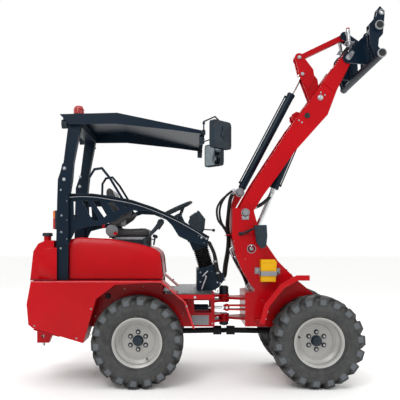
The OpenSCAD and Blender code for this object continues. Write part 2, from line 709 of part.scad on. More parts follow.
// Hollow tyre whose lugs point to one side, with an edge of a lug at the bottom
module tyre() {
    r = tyre_d / 2;
    w = tyre_w / 2;
    n = 2 * lugs;
    bead = (rim_d / 2 - 18) / cos(180 / n) + seat_gap;
    // [lug's radius, side, valley's radius, side, lug's half angle, sweep]
    tread = [[r, 12, r - 30, 14, 5, 1], [r - 6, w - 7, r - 34, w - 26, 5.6, 9], [r - 82, w, r - 84, w - 8, 5.2, 11]];
    // [radius, side]
    wall = [[rim_d / 2 + 4, rim_w / 2 - 7 - side_gap], [bead, rim_w / 2 - 7 - side_gap], [r - 60, w - 42]];
    start = tread[0][4] - tread[0][5] - 90;
    middle = [for (j = [0:n - 1], t = [0, 1]) let (a = start + (j + t / 2) * pitch / 2 - tread[0][4])
        [(r - 30) * cos(a), (r - 30) * sin(a), 0]];
    sides = [for (s = [1, -1]) each concat(
        [for (q = tread, i = [0:lugs - 1], t = [0:3])
            let (p = tread_point(q, t, start + i * pitch + (s < 0 ? pitch / 2 : 0))) [p.x, p.y, s * p.z]],
        [for (q = wall, j = [0:n - 1]) let (a = start + tread[2][5] + (j + (s < 0 ? 1 : 0)) * pitch / 2)
            [q[0] * cos(a), q[0] * sin(a), s * q[1]]])];
    m = 2 * n;
    side = 3 * m + 3 * n;
    function half_faces(o) = concat(band(m, o, o + m), band(m, o + m, o + 2 * m), half_band(n, o + 2 * m, o + 3 * m),
        band(n, o + 3 * m, o + 3 * m + n), band(n, o + 3 * m + n, o + 3 * m + 2 * n));
    color("black") polyhedron(concat(middle, sides), concat(
        band(m, 0, m), half_faces(m), flip(band(m, 0, m + side, m - 2)), flip(half_faces(m + side)),
        band(n, m + side - n, m + 2 * side - n, n - 1)));
}

module rim_rl() { at_wheel(-1, 1) rim(); }
module rim_rr() { at_wheel(-1, -1) rim(); }
module rim_fl() { at_wheel(1, 1) rim(); }
module rim_fr() { at_wheel(1, -1) rim(); }
module tyre_rl() { at_wheel(-1, 1) mirror([0, 1, 0]) tyre(); }
module tyre_rr() { at_wheel(-1, -1) tyre(); }
module tyre_fl() { at_wheel(1, 1) mirror([0, 1, 0]) tyre(); }
module tyre_fr() { at_wheel(1, -1) tyre(); }

// ---- steering cylinder -------------------------------------------------------------------

// Places a cylinder lying from the rear pin towards the front pin
module along_steer() {
    d = steer_front - steer_rear;
    to_origin() translate([steer_rear.x, steer_rear.y, steer_z]) rotate([0, 0, atan2(d.y, d.x)]) children();
}

module steer_barrel() {
    color("black") along_steer() difference() {
        union() {
            translate([44, 0, 0]) rotate([0, 90, 0]) cylinder(d = steer_barrel_d, h = 284);
            translate([0, 0, -10]) cylinder(r = 26, h = 20);
            block([0, -18, -10], [50, 18, 10]);
        }
        translate([0, 0, -30]) cylinder(r = 12 + fit, h = 60);
        translate([60, 0, 0]) rotate([0, 90, 0]) cylinder(d = steer_rod_d + 2 * seat_gap, h = 280);
    }
}

module steer_rod() {
    reach = norm(steer_front - steer_rear);
    color("silver") along_steer() {
        translate([175, 0, 0]) rotate([0, 90, 0]) cylinder(d = steer_rod_d, h = reach - 175 - 42);
        block([reach - 46, -12, -9], [reach, 12, 9]);
        translate([reach, 0, -10]) cylinder(r = 26, h = 20);
    }
}

// ---- lifting arm -------------------------------------------------------------------------

module boom() {
    wo = boom_w / 2;
    wi = wo - boom_t;
    L = boom_len;
    up = [[-30, 52], [60, 70], [0.172 * L, 85], [0.55 * L, 90], [L - 505, 73], [L - 18, 53]];
    down = [[L - 42, -48], [L - 283, -75], [L - 520, -130], [0.422 * L, -66], [0.254 * L, -60], [0.141 * L, -50],
            [0, -56]];
    plate = [for (q = concat(back(down), back(up))) along(q.x, q.y)];
    color("firebrick") to_origin() difference() {
        union() {
            pair(wi, wo) union() {
                polygon(plate);
                disc(P, 62);
                disc(H, 54);
            }
            // boss rings beside the tower
            sides() bar_y(P, 46, wo - 1, inner - side_gap);
            // cross tubes
            bar_y(P, 44, -wi - 1, wi + 1);
            bar_y(along(0.277 * L, 20), 38, -wi - 1, wi + 1);
            bar_y(B, 30, -wi - 1, -48);
            bar_y(B, 30, 48, wi + 1);
            bar_y(C, 40, -wi - 1, -62);
            bar_y(C, 40, 62, wi + 1);
            // top web
            slab(-wi - 1, wi + 1) polygon([along(0.229 * L, 50), along(0.517 * L, 52), along(0.517 * L, 64),
                                              along(0.229 * L, 62)]);
            bar_y(B, pin_d / 2 - fit, -60, 60);
        }
        bar_y(P, boom_pin_d / 2, -300, 300);
        bar_y(C, pin_d / 2, -300, 300);
        bar_y(H, pin_d / 2, -300, 300);
    }
}

// Places a cylinder that leads from point a towards point b in the side view, along +X
module along_line(a, b) {
    d = b - a;
    to_origin() translate([a.x, 0, a.y]) rotate([0, -atan2(d.y, d.x), 0]) children();
}

// A barrel with its eye at the start; a rod with its eye at the end
module barrel(d, rod, len, eye) {
    difference() {
        union() {
            translate([eye + 18, 0, 0]) rotate([0, 90, 0]) cylinder(d = d, h = len - eye - 18);
            block([0, -22, -26], [eye + 22, 22, 26]);
            rotate([90, 0, 0]) cylinder(r = eye + 6, h = 50, center = true);
        }
        rotate([90, 0, 0]) cylinder(d = pin_d, h = 100, center = true);
        translate([eye + 50, 0, 0]) rotate([0, 90, 0]) cylinder(d = rod + 2 * seat_gap, h = len);
    }
}

// The rod carries its own pin, which ends short of the plates on both sides
module piston_rod(d, from, to, eye, pin) {
    translate([from, 0, 0]) rotate([0, 90, 0]) cylinder(d = d, h = to - from - eye + 4);
    translate([to, 0, 0]) rotate([90, 0, 0]) cylinder(r = eye, h = 44, center = true);
    translate([to, 0, 0]) rotate([90, 0, 0]) cylinder(d = pin_d, h = pin, center = true);
}

module lift_barrel() { color("black") along_line(B, A) barrel(lift_d, lift_rod_d, 0.531 * norm(B - A), 32); }
module lift_rod() { color("silver") along_line(B, A) piston_rod(lift_rod_d, 0.47 * norm(B - A), norm(B - A), 34, 2 * inner - 2); }
module tilt_barrel() { color("black") along_line(T, R) barrel(tilt_d, tilt_rod_d, tilt_share * norm(R - T), 28); }
module tilt_rod() { color("silver") along_line(T, R) piston_rod(tilt_rod_d, (tilt_share - 0.2) * norm(R - T), norm(R - T), 30, 54); }

module crank_pin() {
    color("silver") to_origin() bar_y(C, pin_d / 2 - fit, -boom_w / 2 - 10, boom_w / 2 + 10);
}

module bellcrank() {
    u = [cos(crank_a), sin(crank_a)];
    v = [sin(crank_a), -cos(crank_a)];
    function at(s, n) = C + s * u + n * v;
    outline = [at(-30, 42), at(40, 62), at(200, 92), at(245, 76), at(300, 86), at(crank_len - 20, 46),
               at(crank_len + 20, -34), at(crank_len - 150, -52), at(60, -46), at(-30, -40)];
    color("firebrick") to_origin() difference() {
        union() {
            pair(28, 42) union() {
                polygon(back(outline));
                disc(C, 50);
                disc(K, 42);
            }
            bar_y(C, 38, -58, 58);
            // heads of the tilt rod's pin
            sides() bar_y(R, pin_d / 2, 41, 52);
            slab(-29, 29) polygon([at(90, 50), at(200, 74), at(200, 86), at(90, 62)]);
        }
        bar_y(C, pin_d / 2, -100, 100);
        bar_y(K, pin_d / 2, -100, 100);
    }
}

module link_pin() {
    color("silver") to_origin() bar_y(K, pin_d / 2 - fit, -52, 52);
}

module link_bar() {
    u = (M - K) / norm(M - K);
    n = [-u.y, u.x];
    color("firebrick") to_origin() difference() {
        slab(-22, 22) union() {
            disc(K, 32);
            disc(M, 32);
            polygon([K - 24 * n, M - 24 * n, M + 24 * n, K + 24 * n]);
        }
        bar_y(K, pin_d / 2, -60, 60);
    }
}

module hitch_pins() {
    color("silver") to_origin() sides() bar_y(H, pin_d / 2 - fit, boom_w / 2 - boom_t - 12, boom_w / 2 + 24);
}

module hitch() {
    w = hitch_w / 2;
    ear_y = boom_w / 2 + side_gap;
    side = [H + [187, 346], H + [hitch_tip, 304], H + [226, 252], H + [219, 175], H + [213, 110], H + [180, 71],
            H + [174, 6], H + [205, -30], H + [150, -84], H + [106, 32], H + [97, 194], H + [155, 258], H + [168, 323]];
    ear = [H + [-30, 22], H + [-20, -44], H + [143, -60], H + [176, -90], H + [205, -30], H + [180, 71], H + [205, 175],
           H + [150, 195], H + [115, 172]];
    color("black") to_origin() difference() {
        union() {
            bar_y(tube_low, hitch_tube_d / 2, -w, w);
            pair(w - 65, w - 50) polygon(back(side));
            pair(w - 125, w - 110) polygon(back(side));
            pair(ear_y, ear_y + 15) union() {
                polygon(ear);
                disc(H, 50);
                disc(tube_high, 48);
            }
            sides() bar_y(tube_high, upper_tube_d / 2, ear_y + 1, w - 20);
            bar_y(tube_high, upper_tube_d / 2, -w + 150, w - 150);
            // ears of the link
            pair(26, 40) union() {
                disc(M, 38);
                polygon([M + [-10, -36], tube_high + [-30, -30], tube_high + [0, 30], M + [10, 36]]);
            }
            sides() bar_y(M, pin_d / 2, 39, 50);
            // ribs between the tubes
            for (y = [110, 180]) pair(y, y + 12)
                polygon([tube_low + [-40, 10], tube_low + [10, 30], tube_high + [10, 0], tube_high + [-34, 0]]);
        }
        bar_y(H, pin_d / 2, -w, w);
        bar_y(H + [203, 297], 14, -w - 1, w + 1);
    }
}

rear_chassis();
rear_axle();
engine();
rear_skirt();
hoods();
floor_plate();
seat_base();
seat_cushion();
seat_back();
post_frame();
canopy();
guard_beams();
column_stand();
column_boot();
dash_pod();
mirrors();
lamps();
pivot_pins();
steering_wheel();
front_chassis();
front_axle();
front_lamps();
wheel_chock();
rim_rl();
tyre_rl();
rim_rr();
tyre_rr();
rim_fl();
tyre_fl();
rim_fr();
tyre_fr();
steer_barrel();
steer_rod();
boom();
lift_barrel();
lift_rod();
tilt_barrel();
tilt_rod();
crank_pin();
bellcrank();
link_pin();
link_bar();
hitch_pins();
hitch();
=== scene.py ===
import json
import math
import bmesh
import bpy
from mathutils import Matrix, Vector


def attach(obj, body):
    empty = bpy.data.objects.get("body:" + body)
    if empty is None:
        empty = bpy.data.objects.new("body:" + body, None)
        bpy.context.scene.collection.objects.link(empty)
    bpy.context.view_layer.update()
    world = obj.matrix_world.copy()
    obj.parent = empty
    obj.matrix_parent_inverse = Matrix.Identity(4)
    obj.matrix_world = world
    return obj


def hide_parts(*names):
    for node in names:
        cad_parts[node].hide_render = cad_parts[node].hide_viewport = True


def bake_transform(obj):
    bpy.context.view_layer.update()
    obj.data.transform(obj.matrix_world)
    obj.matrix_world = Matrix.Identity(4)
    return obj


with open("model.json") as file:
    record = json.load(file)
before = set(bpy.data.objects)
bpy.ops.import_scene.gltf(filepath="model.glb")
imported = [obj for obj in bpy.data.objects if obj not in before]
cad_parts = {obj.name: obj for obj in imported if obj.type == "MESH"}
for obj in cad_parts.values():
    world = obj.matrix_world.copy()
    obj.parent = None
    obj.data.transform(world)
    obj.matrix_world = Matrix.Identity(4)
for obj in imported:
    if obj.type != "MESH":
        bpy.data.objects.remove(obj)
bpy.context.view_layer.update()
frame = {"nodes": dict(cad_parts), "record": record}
joints = {j["name"]: j for j in frame["record"]["behaviour"]["joints"]}
PIVOT_X = joints["articulation"]["pos_m"][0]


def at(x, y, z):
    """A point counted in millimetres from the articulation pivot."""
    return Vector((PIVOT_X + x / 1000, y / 1000, z / 1000))


# ---- camera ------------------------------------------------------------------------------
camera = bpy.data.objects.new("camera", bpy.data.cameras.new("camera"))
bpy.context.collection.objects.link(camera)
EYE = (-345, -4950, 1239)
camera.location = at(*EYE)
camera.rotation_euler = (math.radians(90), 0, 0)
camera.data.sensor_width = 36
camera.data.lens = 47.52
camera.data.shift_x = 0.0325
camera.data.shift_y = 0.105
camera.data.dof.use_dof = False
bpy.context.scene.camera = camera

# ---- materials ---------------------------------------------------------------------------


class Mat:
    """A Principled material and the few nodes that every one of these uses."""

    def __init__(self, name, **sockets):
        self.m = bpy.data.materials.new(name)
        self.m.use_nodes = True
        self.t = self.m.node_tree
        self.t.nodes.clear()
        out = self.t.nodes.new("ShaderNodeOutputMaterial")
        self.s = self.t.nodes.new("ShaderNodeBsdfPrincipled")
        self.t.links.new(self.s.outputs[0], out.inputs[0])
        self.co = self.t.nodes.new("ShaderNodeTexCoord").outputs["Object"]
        for k, v in sockets.items():
            self.s.inputs[k.replace("_", " ")].default_value = v

    def put(self, kind, out=0, ins=(), **props):
        n = self.t.nodes.new("ShaderNode" + kind)
        for k, v in props.items():
            setattr(n, k, v)
        for k, v in dict(ins).items():
            if isinstance(v, bpy.types.NodeSocket):
                self.t.links.new(v, n.inputs[k])
            else:
                n.inputs[k].default_value = v
        return n.outputs[out]

    def noise(self, scale, detail=3, rough=0.55):
        return self.put("TexNoise", 0, {"Vector": self.co, "Scale": scale, "Detail": detail,
            "Roughness": rough})

    def ramp(self, fac, a, b, ca=(0, 0, 0, 1), cb=(1, 1, 1, 1)):
        n = self.t.nodes.new("ShaderNodeValToRGB")
        self.t.links.new(fac, n.inputs[0])
        e = n.color_ramp.elements
        e[0].position, e[1].position = a, b
        e[0].color, e[1].color = ca, cb
        return n.outputs[0]

    def mix(self, fac, a, b):
        n = self.t.nodes.new("ShaderNodeMix")
        n.data_type = "RGBA"
        for i, v in ((0, fac), (6, a), (7, b)):
            if isinstance(v, bpy.types.NodeSocket):
                self.t.links.new(v, n.inputs[i])
            else:
                n.inputs[i].default_value = v
        return n.outputs[2]

    def math(self, op, a, b=0.0):
        return self.put("Math", 0, {0: a, 1: b}, operation=op)

    def edges(self):
        """White on convex and concave edges, black on flats."""
        b = self.put("Bevel", 0, {"Radius": 0.004}, samples=4)
        n = self.put("NewGeometry", 1)
        return self.math("SUBTRACT", 1.0, self.put("VectorMath", 1, {0: b, 1: n}, operation="DOT_PRODUCT"))

    def upward(self):
        """1 where a surface faces up."""
        n = self.put("NewGeometry", 1)
        return self.put("SeparateXYZ", 2, {0: n})

    def bump(self, height, strength=0.2, dist=0.001, normal=None):
        ins = {"Height": height, "Strength": strength, "Distance": dist}
        if normal:
            ins["Normal"] = normal
        return self.put("Bump", 0, ins)

    def link(self, socket, name):
        self.t.links.new(socket, self.s.inputs[name])


def rgb(h):
    """Linear colour from an sRGB hex."""
    c = [int(h[i:i + 2], 16) / 255 for i in (0, 2, 4)]
    return tuple([v / 12.92 if v < 0.04045 else ((v + 0.055) / 1.055) ** 2.4 for v in c] + [1.0])


def shade(c, k):
    """A colour k times as bright."""
    return tuple(v * k for v in c[:3]) + (1.0,)


def paint(name, base, rough=0.3, coat=0.4, wear_and_sheen="9a6a60", wear_and_sheen_at=0.5, dusty=0.25,
          metallic=0.0, spec=0.14):
    """Sprayed enamel: a little colour drift, dust where it faces up, a thin tint on the edges, orange peel;
    the edge tint is worn paint, and where it is lighter than the paint it is a painted highlight.
    """
    m = Mat(name, Roughness=rough, Coat_Weight=coat, Coat_Roughness=0.12, Metallic=metallic,
        Specular_IOR_Level=spec)
    c = rgb(base)
    col = m.mix(m.ramp(m.noise(3.2, 4), 0.35, 0.68), shade(c, 0.88), c)
    specks = m.ramp(m.noise(55, 5, 0.7), 0.55, 0.72)
    up = m.ramp(m.upward(), 0.25, 0.95)
    dusting = m.math("MULTIPLY", m.math("MULTIPLY", specks, up), dusty)
    col = m.mix(dusting, col, rgb("8f8474"))
    if wear_and_sheen_at:
        # edge tint: worn paint, and a painted highlight along the edges where the tint is lighter than the
        # paint
        e = m.ramp(m.math("MULTIPLY", m.edges(), m.math("ADD", m.noise(38, 4), 0.35)), 0.10, 0.34)
        col = m.mix(m.math("MULTIPLY", e, wear_and_sheen_at), col, rgb(wear_and_sheen))
    m.link(col, "Base Color")
    bev = m.put("Bevel", 0, {"Radius": 0.0022}, samples=4)
    m.link(m.bump(m.noise(420, 2), 0.05, 0.0006, bev), "Normal")
    return m.m


def rubber(name, base="17181a", rough=0.62, dust="5d5850", dusty=0.35, scale=60, painted_shade_reach=0.0):
    """Moulded rubber or plastic with fine grain and dust; with a reach above 0, painted shade darkens it
    where it is closed in.
    """
    m = Mat(name, Roughness=rough, Specular_IOR_Level=0.25)
    c = rgb(base)
    col = m.mix(m.ramp(m.noise(7, 5), 0.3, 0.75), shade(c, 0.75), shade(c, 1.35))
    dirt = m.math("MULTIPLY", m.ramp(m.noise(scale * 0.4, 6, 0.65), 0.42, 0.78), dusty)
    col = m.mix(dirt, col, rgb(dust))
    # painted shade: the colour falls towards a fifth of the base where ambient occlusion finds the surface
    # closed in
    if painted_shade_reach:
        open_ = m.put("AmbientOcclusion", 1, {"Distance": painted_shade_reach}, samples=6)
        light = m.put("MapRange", 0, {"Value": open_, "From Min": 0.35, "From Max": 0.92, "To Min": 0.18,
            "To Max": 1.0})
        col = m.mix(light, shade(c, 0.2), col)
    m.link(col, "Base Color")
    m.link(m.bump(m.noise(scale * 8, 3), 0.12, 0.0008), "Normal")
    return m.m


def metal(name, base="c9cbcc", rough=0.3, scratch=0.15):
    """Bare or zinc-plated steel with fine scratches and a little grime."""
    m = Mat(name, Roughness=rough, Metallic=1.0)
    c = rgb(base)
    fine = m.put("TexNoise", 0, {"Vector": m.put("Mapping", 0, {"Vector": m.co, "Scale": (14, 320, 320)}),
        "Scale": 2.0, "Detail": 3})
    col = m.mix(m.ramp(m.noise(26, 5, 0.65), 0.45, 0.8), c, shade(c, 0.72))
    m.link(col, "Base Color")
    m.link(m.bump(fine, scratch, 0.0004), "Normal")
    return m.m


def lens(name, base):
    """Coloured lamp plastic with moulded ribs."""
    m = Mat(name, Roughness=0.15, Coat_Weight=0.6, Coat_Roughness=0.05, Transmission_Weight=0.25)
    wave = m.put("TexWave", 0, {"Vector": m.co, "Scale": 90.0, "Distortion": 0.3}, bands_direction="Z")
    col = m.mix(wave, rgb(base), shade(rgb(base), 0.8))
    m.link(col, "Base Color")
    m.link(m.bump(wave, 0.25, 0.001), "Normal")
    return m.m


# the red's pink edge tint is a painted highlight on its edges
RED = paint("enamel_red", "ae000c", rough=0.32, coat=0.10, wear_and_sheen="e2444c", wear_and_sheen_at=0.4, dusty=0.05)
DARK = paint("enamel_navy", "081a29", rough=0.38, coat=0.04, wear_and_sheen="6a6c6c", wear_and_sheen_at=0.75, dusty=0.12)
STEEL_NAVY = paint("axle_navy", "12161c", rough=0.45, coat=0.0, wear_and_sheen="3c3f45", wear_and_sheen_at=0.6, dusty=0.45)
SILVER = paint("rim_silver", "abaaa7", rough=0.4, coat=0.1, wear_and_sheen="8c8e90", wear_and_sheen_at=0.35, dusty=0.12,
    metallic=0.15)
YELLOW = paint("chock_yellow", "dba604", rough=0.42, coat=0.2, wear_and_sheen="b98e14", wear_and_sheen_at=0.5, dusty=0.2)
PLASTIC = rubber("moulded_black", "1a2832", rough=0.48, dusty=0.16)
BOOT = rubber("bellows_rubber", "1d1e21", rough=0.5, dusty=0.22)
# the tyre's colour carries painted shade in the gaps between its lugs and in other recesses
TYRE = rubber("tyre_rubber", "3a3b3c", rough=0.66, dust="6a6862", dusty=0.30, scale=46, painted_shade_reach=0.05)
# a lighter copy of the tyre rubber for the lugs' end faces: painted highlight; the light brown on their edges
# is partly worn, dusty rubber and partly painted highlight
LUG_HIGHLIT = paint("lug_rubber_highlit", "53585d", rough=0.4, coat=0.0, wear_and_sheen="b4ac9c", wear_and_sheen_at=0.9, dusty=0.15, spec=0.5)
# a lighter, glossier copy of the red: painted highlight for rounded edges
RED_HIGHLIT = paint("enamel_red_highlit", "b8101c", rough=0.25, coat=0.5, wear_and_sheen="e2444c", wear_and_sheen_at=0.3,
    dusty=0.05, spec=0.5)
HOSE = rubber("hose_rubber", "0e0e10", rough=0.5, dusty=0.1)
ZINC = metal("zinc_plate", "b9bcc0", 0.34, 0.25)
CHROME = metal("chromed_rod", "d4d7d9", 0.12, 0.05)
PIN = metal("pin_steel", "9a9da2", 0.4, 0.35)
GREY = paint("plate_grey", "8a8d91", rough=0.5, coat=0.0, wear_and_sheen="b6b8ba", wear_and_sheen_at=0.5, dusty=0.2)
BLOCK = paint("engine_grey", "34363a", rough=0.6, coat=0.0, wear_and_sheen="5a5c60", wear_and_sheen_at=0.5, dusty=0.5)
LENS_RED = lens("lens_red", "c40d0d")
LENS_AMBER = lens("lens_amber", "f07412")
GLASS = Mat("lamp_glass", Roughness=0.06, Metallic=0.0)
GLASS.link(GLASS.mix(GLASS.put("TexWave", 0, {"Vector": GLASS.co, "Scale": 60.0}), rgb("a9b4bd"),
    rgb("dfe6ea")), "Base Color")
GLASS = GLASS.m
MIRROR = metal("mirror_glass", "aab6bd", 0.05, 0.0)


def tread_plate():
    """Chequer plate: small raised lozenges, turned by quarters, worn bright on top."""
    m = Mat("tread_plate", Roughness=0.42, Metallic=0.7)
    hs = []
    for turn, shift in ((0.785, 0.0), (-0.785, 0.5)):
        v = m.put("Mapping", 0, {"Vector": m.co, "Rotation": (0, 0, turn), "Scale": (26, 26, 26),
                                 "Location": (shift, shift * 0.5, 0)})
        f = m.put("VectorMath", 0, {0: v}, operation="FRACTION")
        d = m.put("VectorMath", 0, {0: f, 1: (0.5, 0.5, 0.5)}, operation="SUBTRACT")
        sx = m.put("SeparateXYZ", 0, {0: d})
        sy = m.put("SeparateXYZ", 1, {0: d})
        r = m.math("ADD", m.math("POWER", m.math("MULTIPLY", sx, 2.6), 2.0),
            m.math("POWER", m.math("MULTIPLY", sy, 9.0), 2.0))
        hs.append(m.ramp(r, 0.5, 1.0, (1, 1, 1, 1), (0, 0, 0, 1)))
    h = m.math("MAXIMUM", hs[0], hs[1])
    dirt = m.ramp(m.noise(9, 5), 0.35, 0.7)
    col = m.mix(h, m.mix(dirt, rgb("3e4043"), rgb("515356")), rgb("8a8d90"))
    m.link(col, "Base Color")
    m.link(m.bump(h, 0.6, 0.0015), "Normal")
    return m.m


TREAD = tread_plate()


def vinyl():
    """Seat cover: dark vinyl with a fine pebble grain."""
    m = Mat("seat_vinyl", Roughness=0.5)
    m.s.inputs["Sheen Weight"].default_value = 0.15
    v = m.put("TexVoronoi", 0, {"Vector": m.co, "Scale": 420.0})
    m.link(m.mix(m.ramp(m.noise(14, 4), 0.3, 0.7), rgb("1b1c1f"), rgb("2a2b2f")), "Base Color")
    m.link(m.bump(v, 0.25, 0.0007), "Normal")
    return m.m


VINYL = vinyl()

# ---- shapes ------------------------------------------------------------------------------


def axes(d, up=None):
    """A rotation whose Z runs along d."""
    z = Vector(d).normalized()
    x = Vector(up) if up else (Vector((0, 0, 1)) if abs(z.z) < 0.9 else Vector((1, 0, 0)))
    x = (x - z * x.dot(z)).normalized()
    return Matrix((x, z.cross(x), z)).transposed()


def loft(n):
    """The faces of a solid between two outlines of n points each."""
    walls = [(i, i + n, (i + 1) % n + n, (i + 1) % n) for i in range(n)]
    return [tuple(range(n)), tuple(range(2 * n - 1, n - 1, -1))] + walls


def ring(r0, r1, h0, h1):
    """The profile of a plain ring for lathe()."""
    return [[r0, h0], [r1, h0], [r1, h1], [r0, h1], [r0, h0]]


def button(r, side, top, h):
    """The profile of a round pin head with a chamfer."""
    return [[0, 0], [r, 0], [r, side], [top, h], [0, h]]


def disc(r, h):
    """The profile of a flat round plate."""
    return [[0, 0], [r, 0], [r, h], [0, h]]


def add(name, me, mat=None):
    """A new object in the scene, with its material."""
    o = bpy.data.objects.new(name, me)
    bpy.context.collection.objects.link(o)
    if mat:
        me.materials.append(mat)
    return o


def from_bmesh(bm, name, mat=None):
    """A bmesh made into an object of the scene."""
    me = bpy.data.meshes.new(name)
    bm.to_mesh(me)
    bm.free()
    return add(name, me, mat)


def bevel_edges(o, width, segments, angle):
    """Rounds the edges sharper than angle in degrees; width in millimetres."""
    b = o.modifiers.new("bevel", "BEVEL")
    b.width, b.segments = width / 1000, segments
    b.limit_method, b.angle_limit = "ANGLE", math.radians(angle)
    return b


class Shape:
    """Collects solids in metres of the shared frame; places are given in millimetres from the pivot."""

    def __init__(self):
        self.bm = bmesh.new()

    def faces(self, verts, faces):
        vs = [self.bm.verts.new(v) for v in verts]
        for f in faces:
            self.bm.faces.new([vs[i] for i in f])
        return vs

    def prism(self, outline, y0, y1):
        """A side-view outline [x, z] thickened from y0 to y1."""
        v = [at(x, y, z) for y in (y0, y1) for x, z in outline]
        self.faces(v, loft(len(outline)))
        return self

    def both(self, outline, y0, y1):
        """The same prism on both sides, between |Y| = y0 and y1."""
        self.prism(outline, y0, y1)
        return self.prism(outline, -y1, -y0)

    def box(self, a, b):
        return self.prism([[a[0], a[2]], [b[0], a[2]], [b[0], b[2]], [a[0], b[2]]], a[1], b[1])

    def lathe(self, profile, p, d, n=32, up=None):
        """A profile [radius, height] turned about the axis d through p; closed where a radius is 0."""
        rot = axes(d, up)
        base = at(*p)
        rings = []
        for r, h in profile:
            if r < 1e-6:
                rings.append([self.bm.verts.new(base + rot @ Vector((0, 0, h / 1000)))])
            else:
                rings.append([self.bm.verts.new(base + rot @ Vector((r / 1000 * math.cos(a),
                    r / 1000 * math.sin(a), h / 1000)))
                              for a in (2 * math.pi * i / n for i in range(n))])
        for a, b in zip(rings, rings[1:]):
            for i in range(n):
                j = (i + 1) % n
                q = [a[i % len(a)], a[j % len(a)], b[j % len(b)], b[i % len(b)]]
                q = [v for k, v in enumerate(q) if v not in q[:k]]
                if len(q) > 2:
                    self.bm.faces.new(q)
        return self

    def sides(self, profile, x, y, z, n=28):
        """The same turned shape on both side faces at |Y| = y."""
        for s in (-1, 1):
            self.lathe(profile, (x, s * y, z), (0, s, 0), n)

    def rod(self, a, b, r, n=20):
        """A round bar from a to b with a small chamfer at both ends."""
        d = Vector(b) - Vector(a)
        h = d.length
        c = min(1.5, r * 0.4, h * 0.3)
        return self.lathe([[0, 0], [r - c, 0], [r, c], [r, h - c], [r - c, h], [0, h]], a, d, n)

    def tube(self, pts, r, n=12):
        """A round tube along points."""
        ps = [at(*p) for p in pts]
        rings = []
        x = None
        for i, p in enumerate(ps):
            d = (ps[min(i + 1, len(ps) - 1)] - ps[max(i - 1, 0)]).normalized()
            x = axes(d).col[0] if x is None else (x - d * x.dot(d)).normalized()
            y = d.cross(x)
            rings.append([self.bm.verts.new(p + (x * math.cos(a) + y * math.sin(a)) * r / 1000)
                          for a in (2 * math.pi * k / n for k in range(n))])
        for a, b in zip(rings, rings[1:]):
            for i in range(n):
                self.bm.faces.new([a[i], a[(i + 1) % n], b[(i + 1) % n], b[i]])
        self.bm.faces.new(rings[0][::-1])
        self.bm.faces.new(rings[-1])
        return self

    def hex(self, p, d, r, h, washer=True, up=None):
        """A hexagon head or nut standing on p along d, with its washer."""
        z = 0.0
        if washer:
            self.lathe([[0, 0], [r * 1.35, 0], [r * 1.35, h * 0.18], [0, h * 0.18]], p, d, 18)
            z = h * 0.16
        self.lathe([[0, z], [r, z], [r, h * 0.85], [r * 0.86, h], [0, h]], p, d, 6, up)
        return self

    def dome(self, p, d, r, h):
        """A round low head."""
        return self.lathe([[0, 0], [r, 0], [r, h * 0.35], [r * 0.85, h * 0.75], [r * 0.5, h * 0.95],
            [0, h]], p, d, 16)

    def done(self, name, mat, body="rear_frame", bevel=0.0, smooth=35, segments=2):
        bmesh.ops.recalc_face_normals(self.bm, faces=self.bm.faces)
        o = from_bmesh(self.bm, name, mat)
        me = o.data
        me.shade_smooth()
        if bevel:
            b = bevel_edges(o, bevel, segments, smooth)
            b.use_clamp_overlap = b.harden_normals = True
        me.set_sharp_from_angle(angle=math.radians(smooth))
        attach(o, body)
        return o


def shapes(n):
    """n empty shapes."""
    return [Shape() for _ in range(n)]


def spline(pts, n=8):
    """A smooth line through points, n steps a span."""
    q = [Vector(p) for p in pts]
    q = [q[0] * 2 - q[1]] + q + [q[-1] * 2 - q[-2]]
    out = []
    for i in range(1, len(q) - 2):
        for k in range(n):
            t = k / n
            a, b, c, d = q[i - 1], q[i], q[i + 1], q[i + 2]
            bend = 2 * a - 5 * b + 4 * c - d
            twist = 3 * b - a - 3 * c + d
            out.append(0.5 * ((2 * b) + (c - a) * t + bend * t * t + twist * t ** 3))
    out.append(q[-2])
    return out


# ---- wheels ------------------------------------------------------------------------------
LUGS = 18
R_NUTS, R_VALVE = 75, 166


def carcass():
    """The tyre's outer line from the middle of its tread down to the bead, [axial, radius] in metres."""
    return [Vector(p) for p in [
        (0, 0.3625), (0.035, 0.3622), (0.066, 0.3600), (0.092, 0.3555), (0.110, 0.3480), (0.1195, 0.3370),
        (0.1245, 0.3200), (0.1270, 0.3000), (0.1272, 0.2830), (0.1255, 0.2660), (0.1215, 0.2500),
        (0.1165, 0.2380), (0.1130, 0.2300), (0.1120, 0.2240), (0.1090, 0.2160), (0.1060, 0.2130)]]


def lug_start(k, side):
    """The angle in degrees where lug k begins; the two sides are staggered."""
    return -86 + (k + (0.5 if side < 0 else 0)) * 360 / LUGS


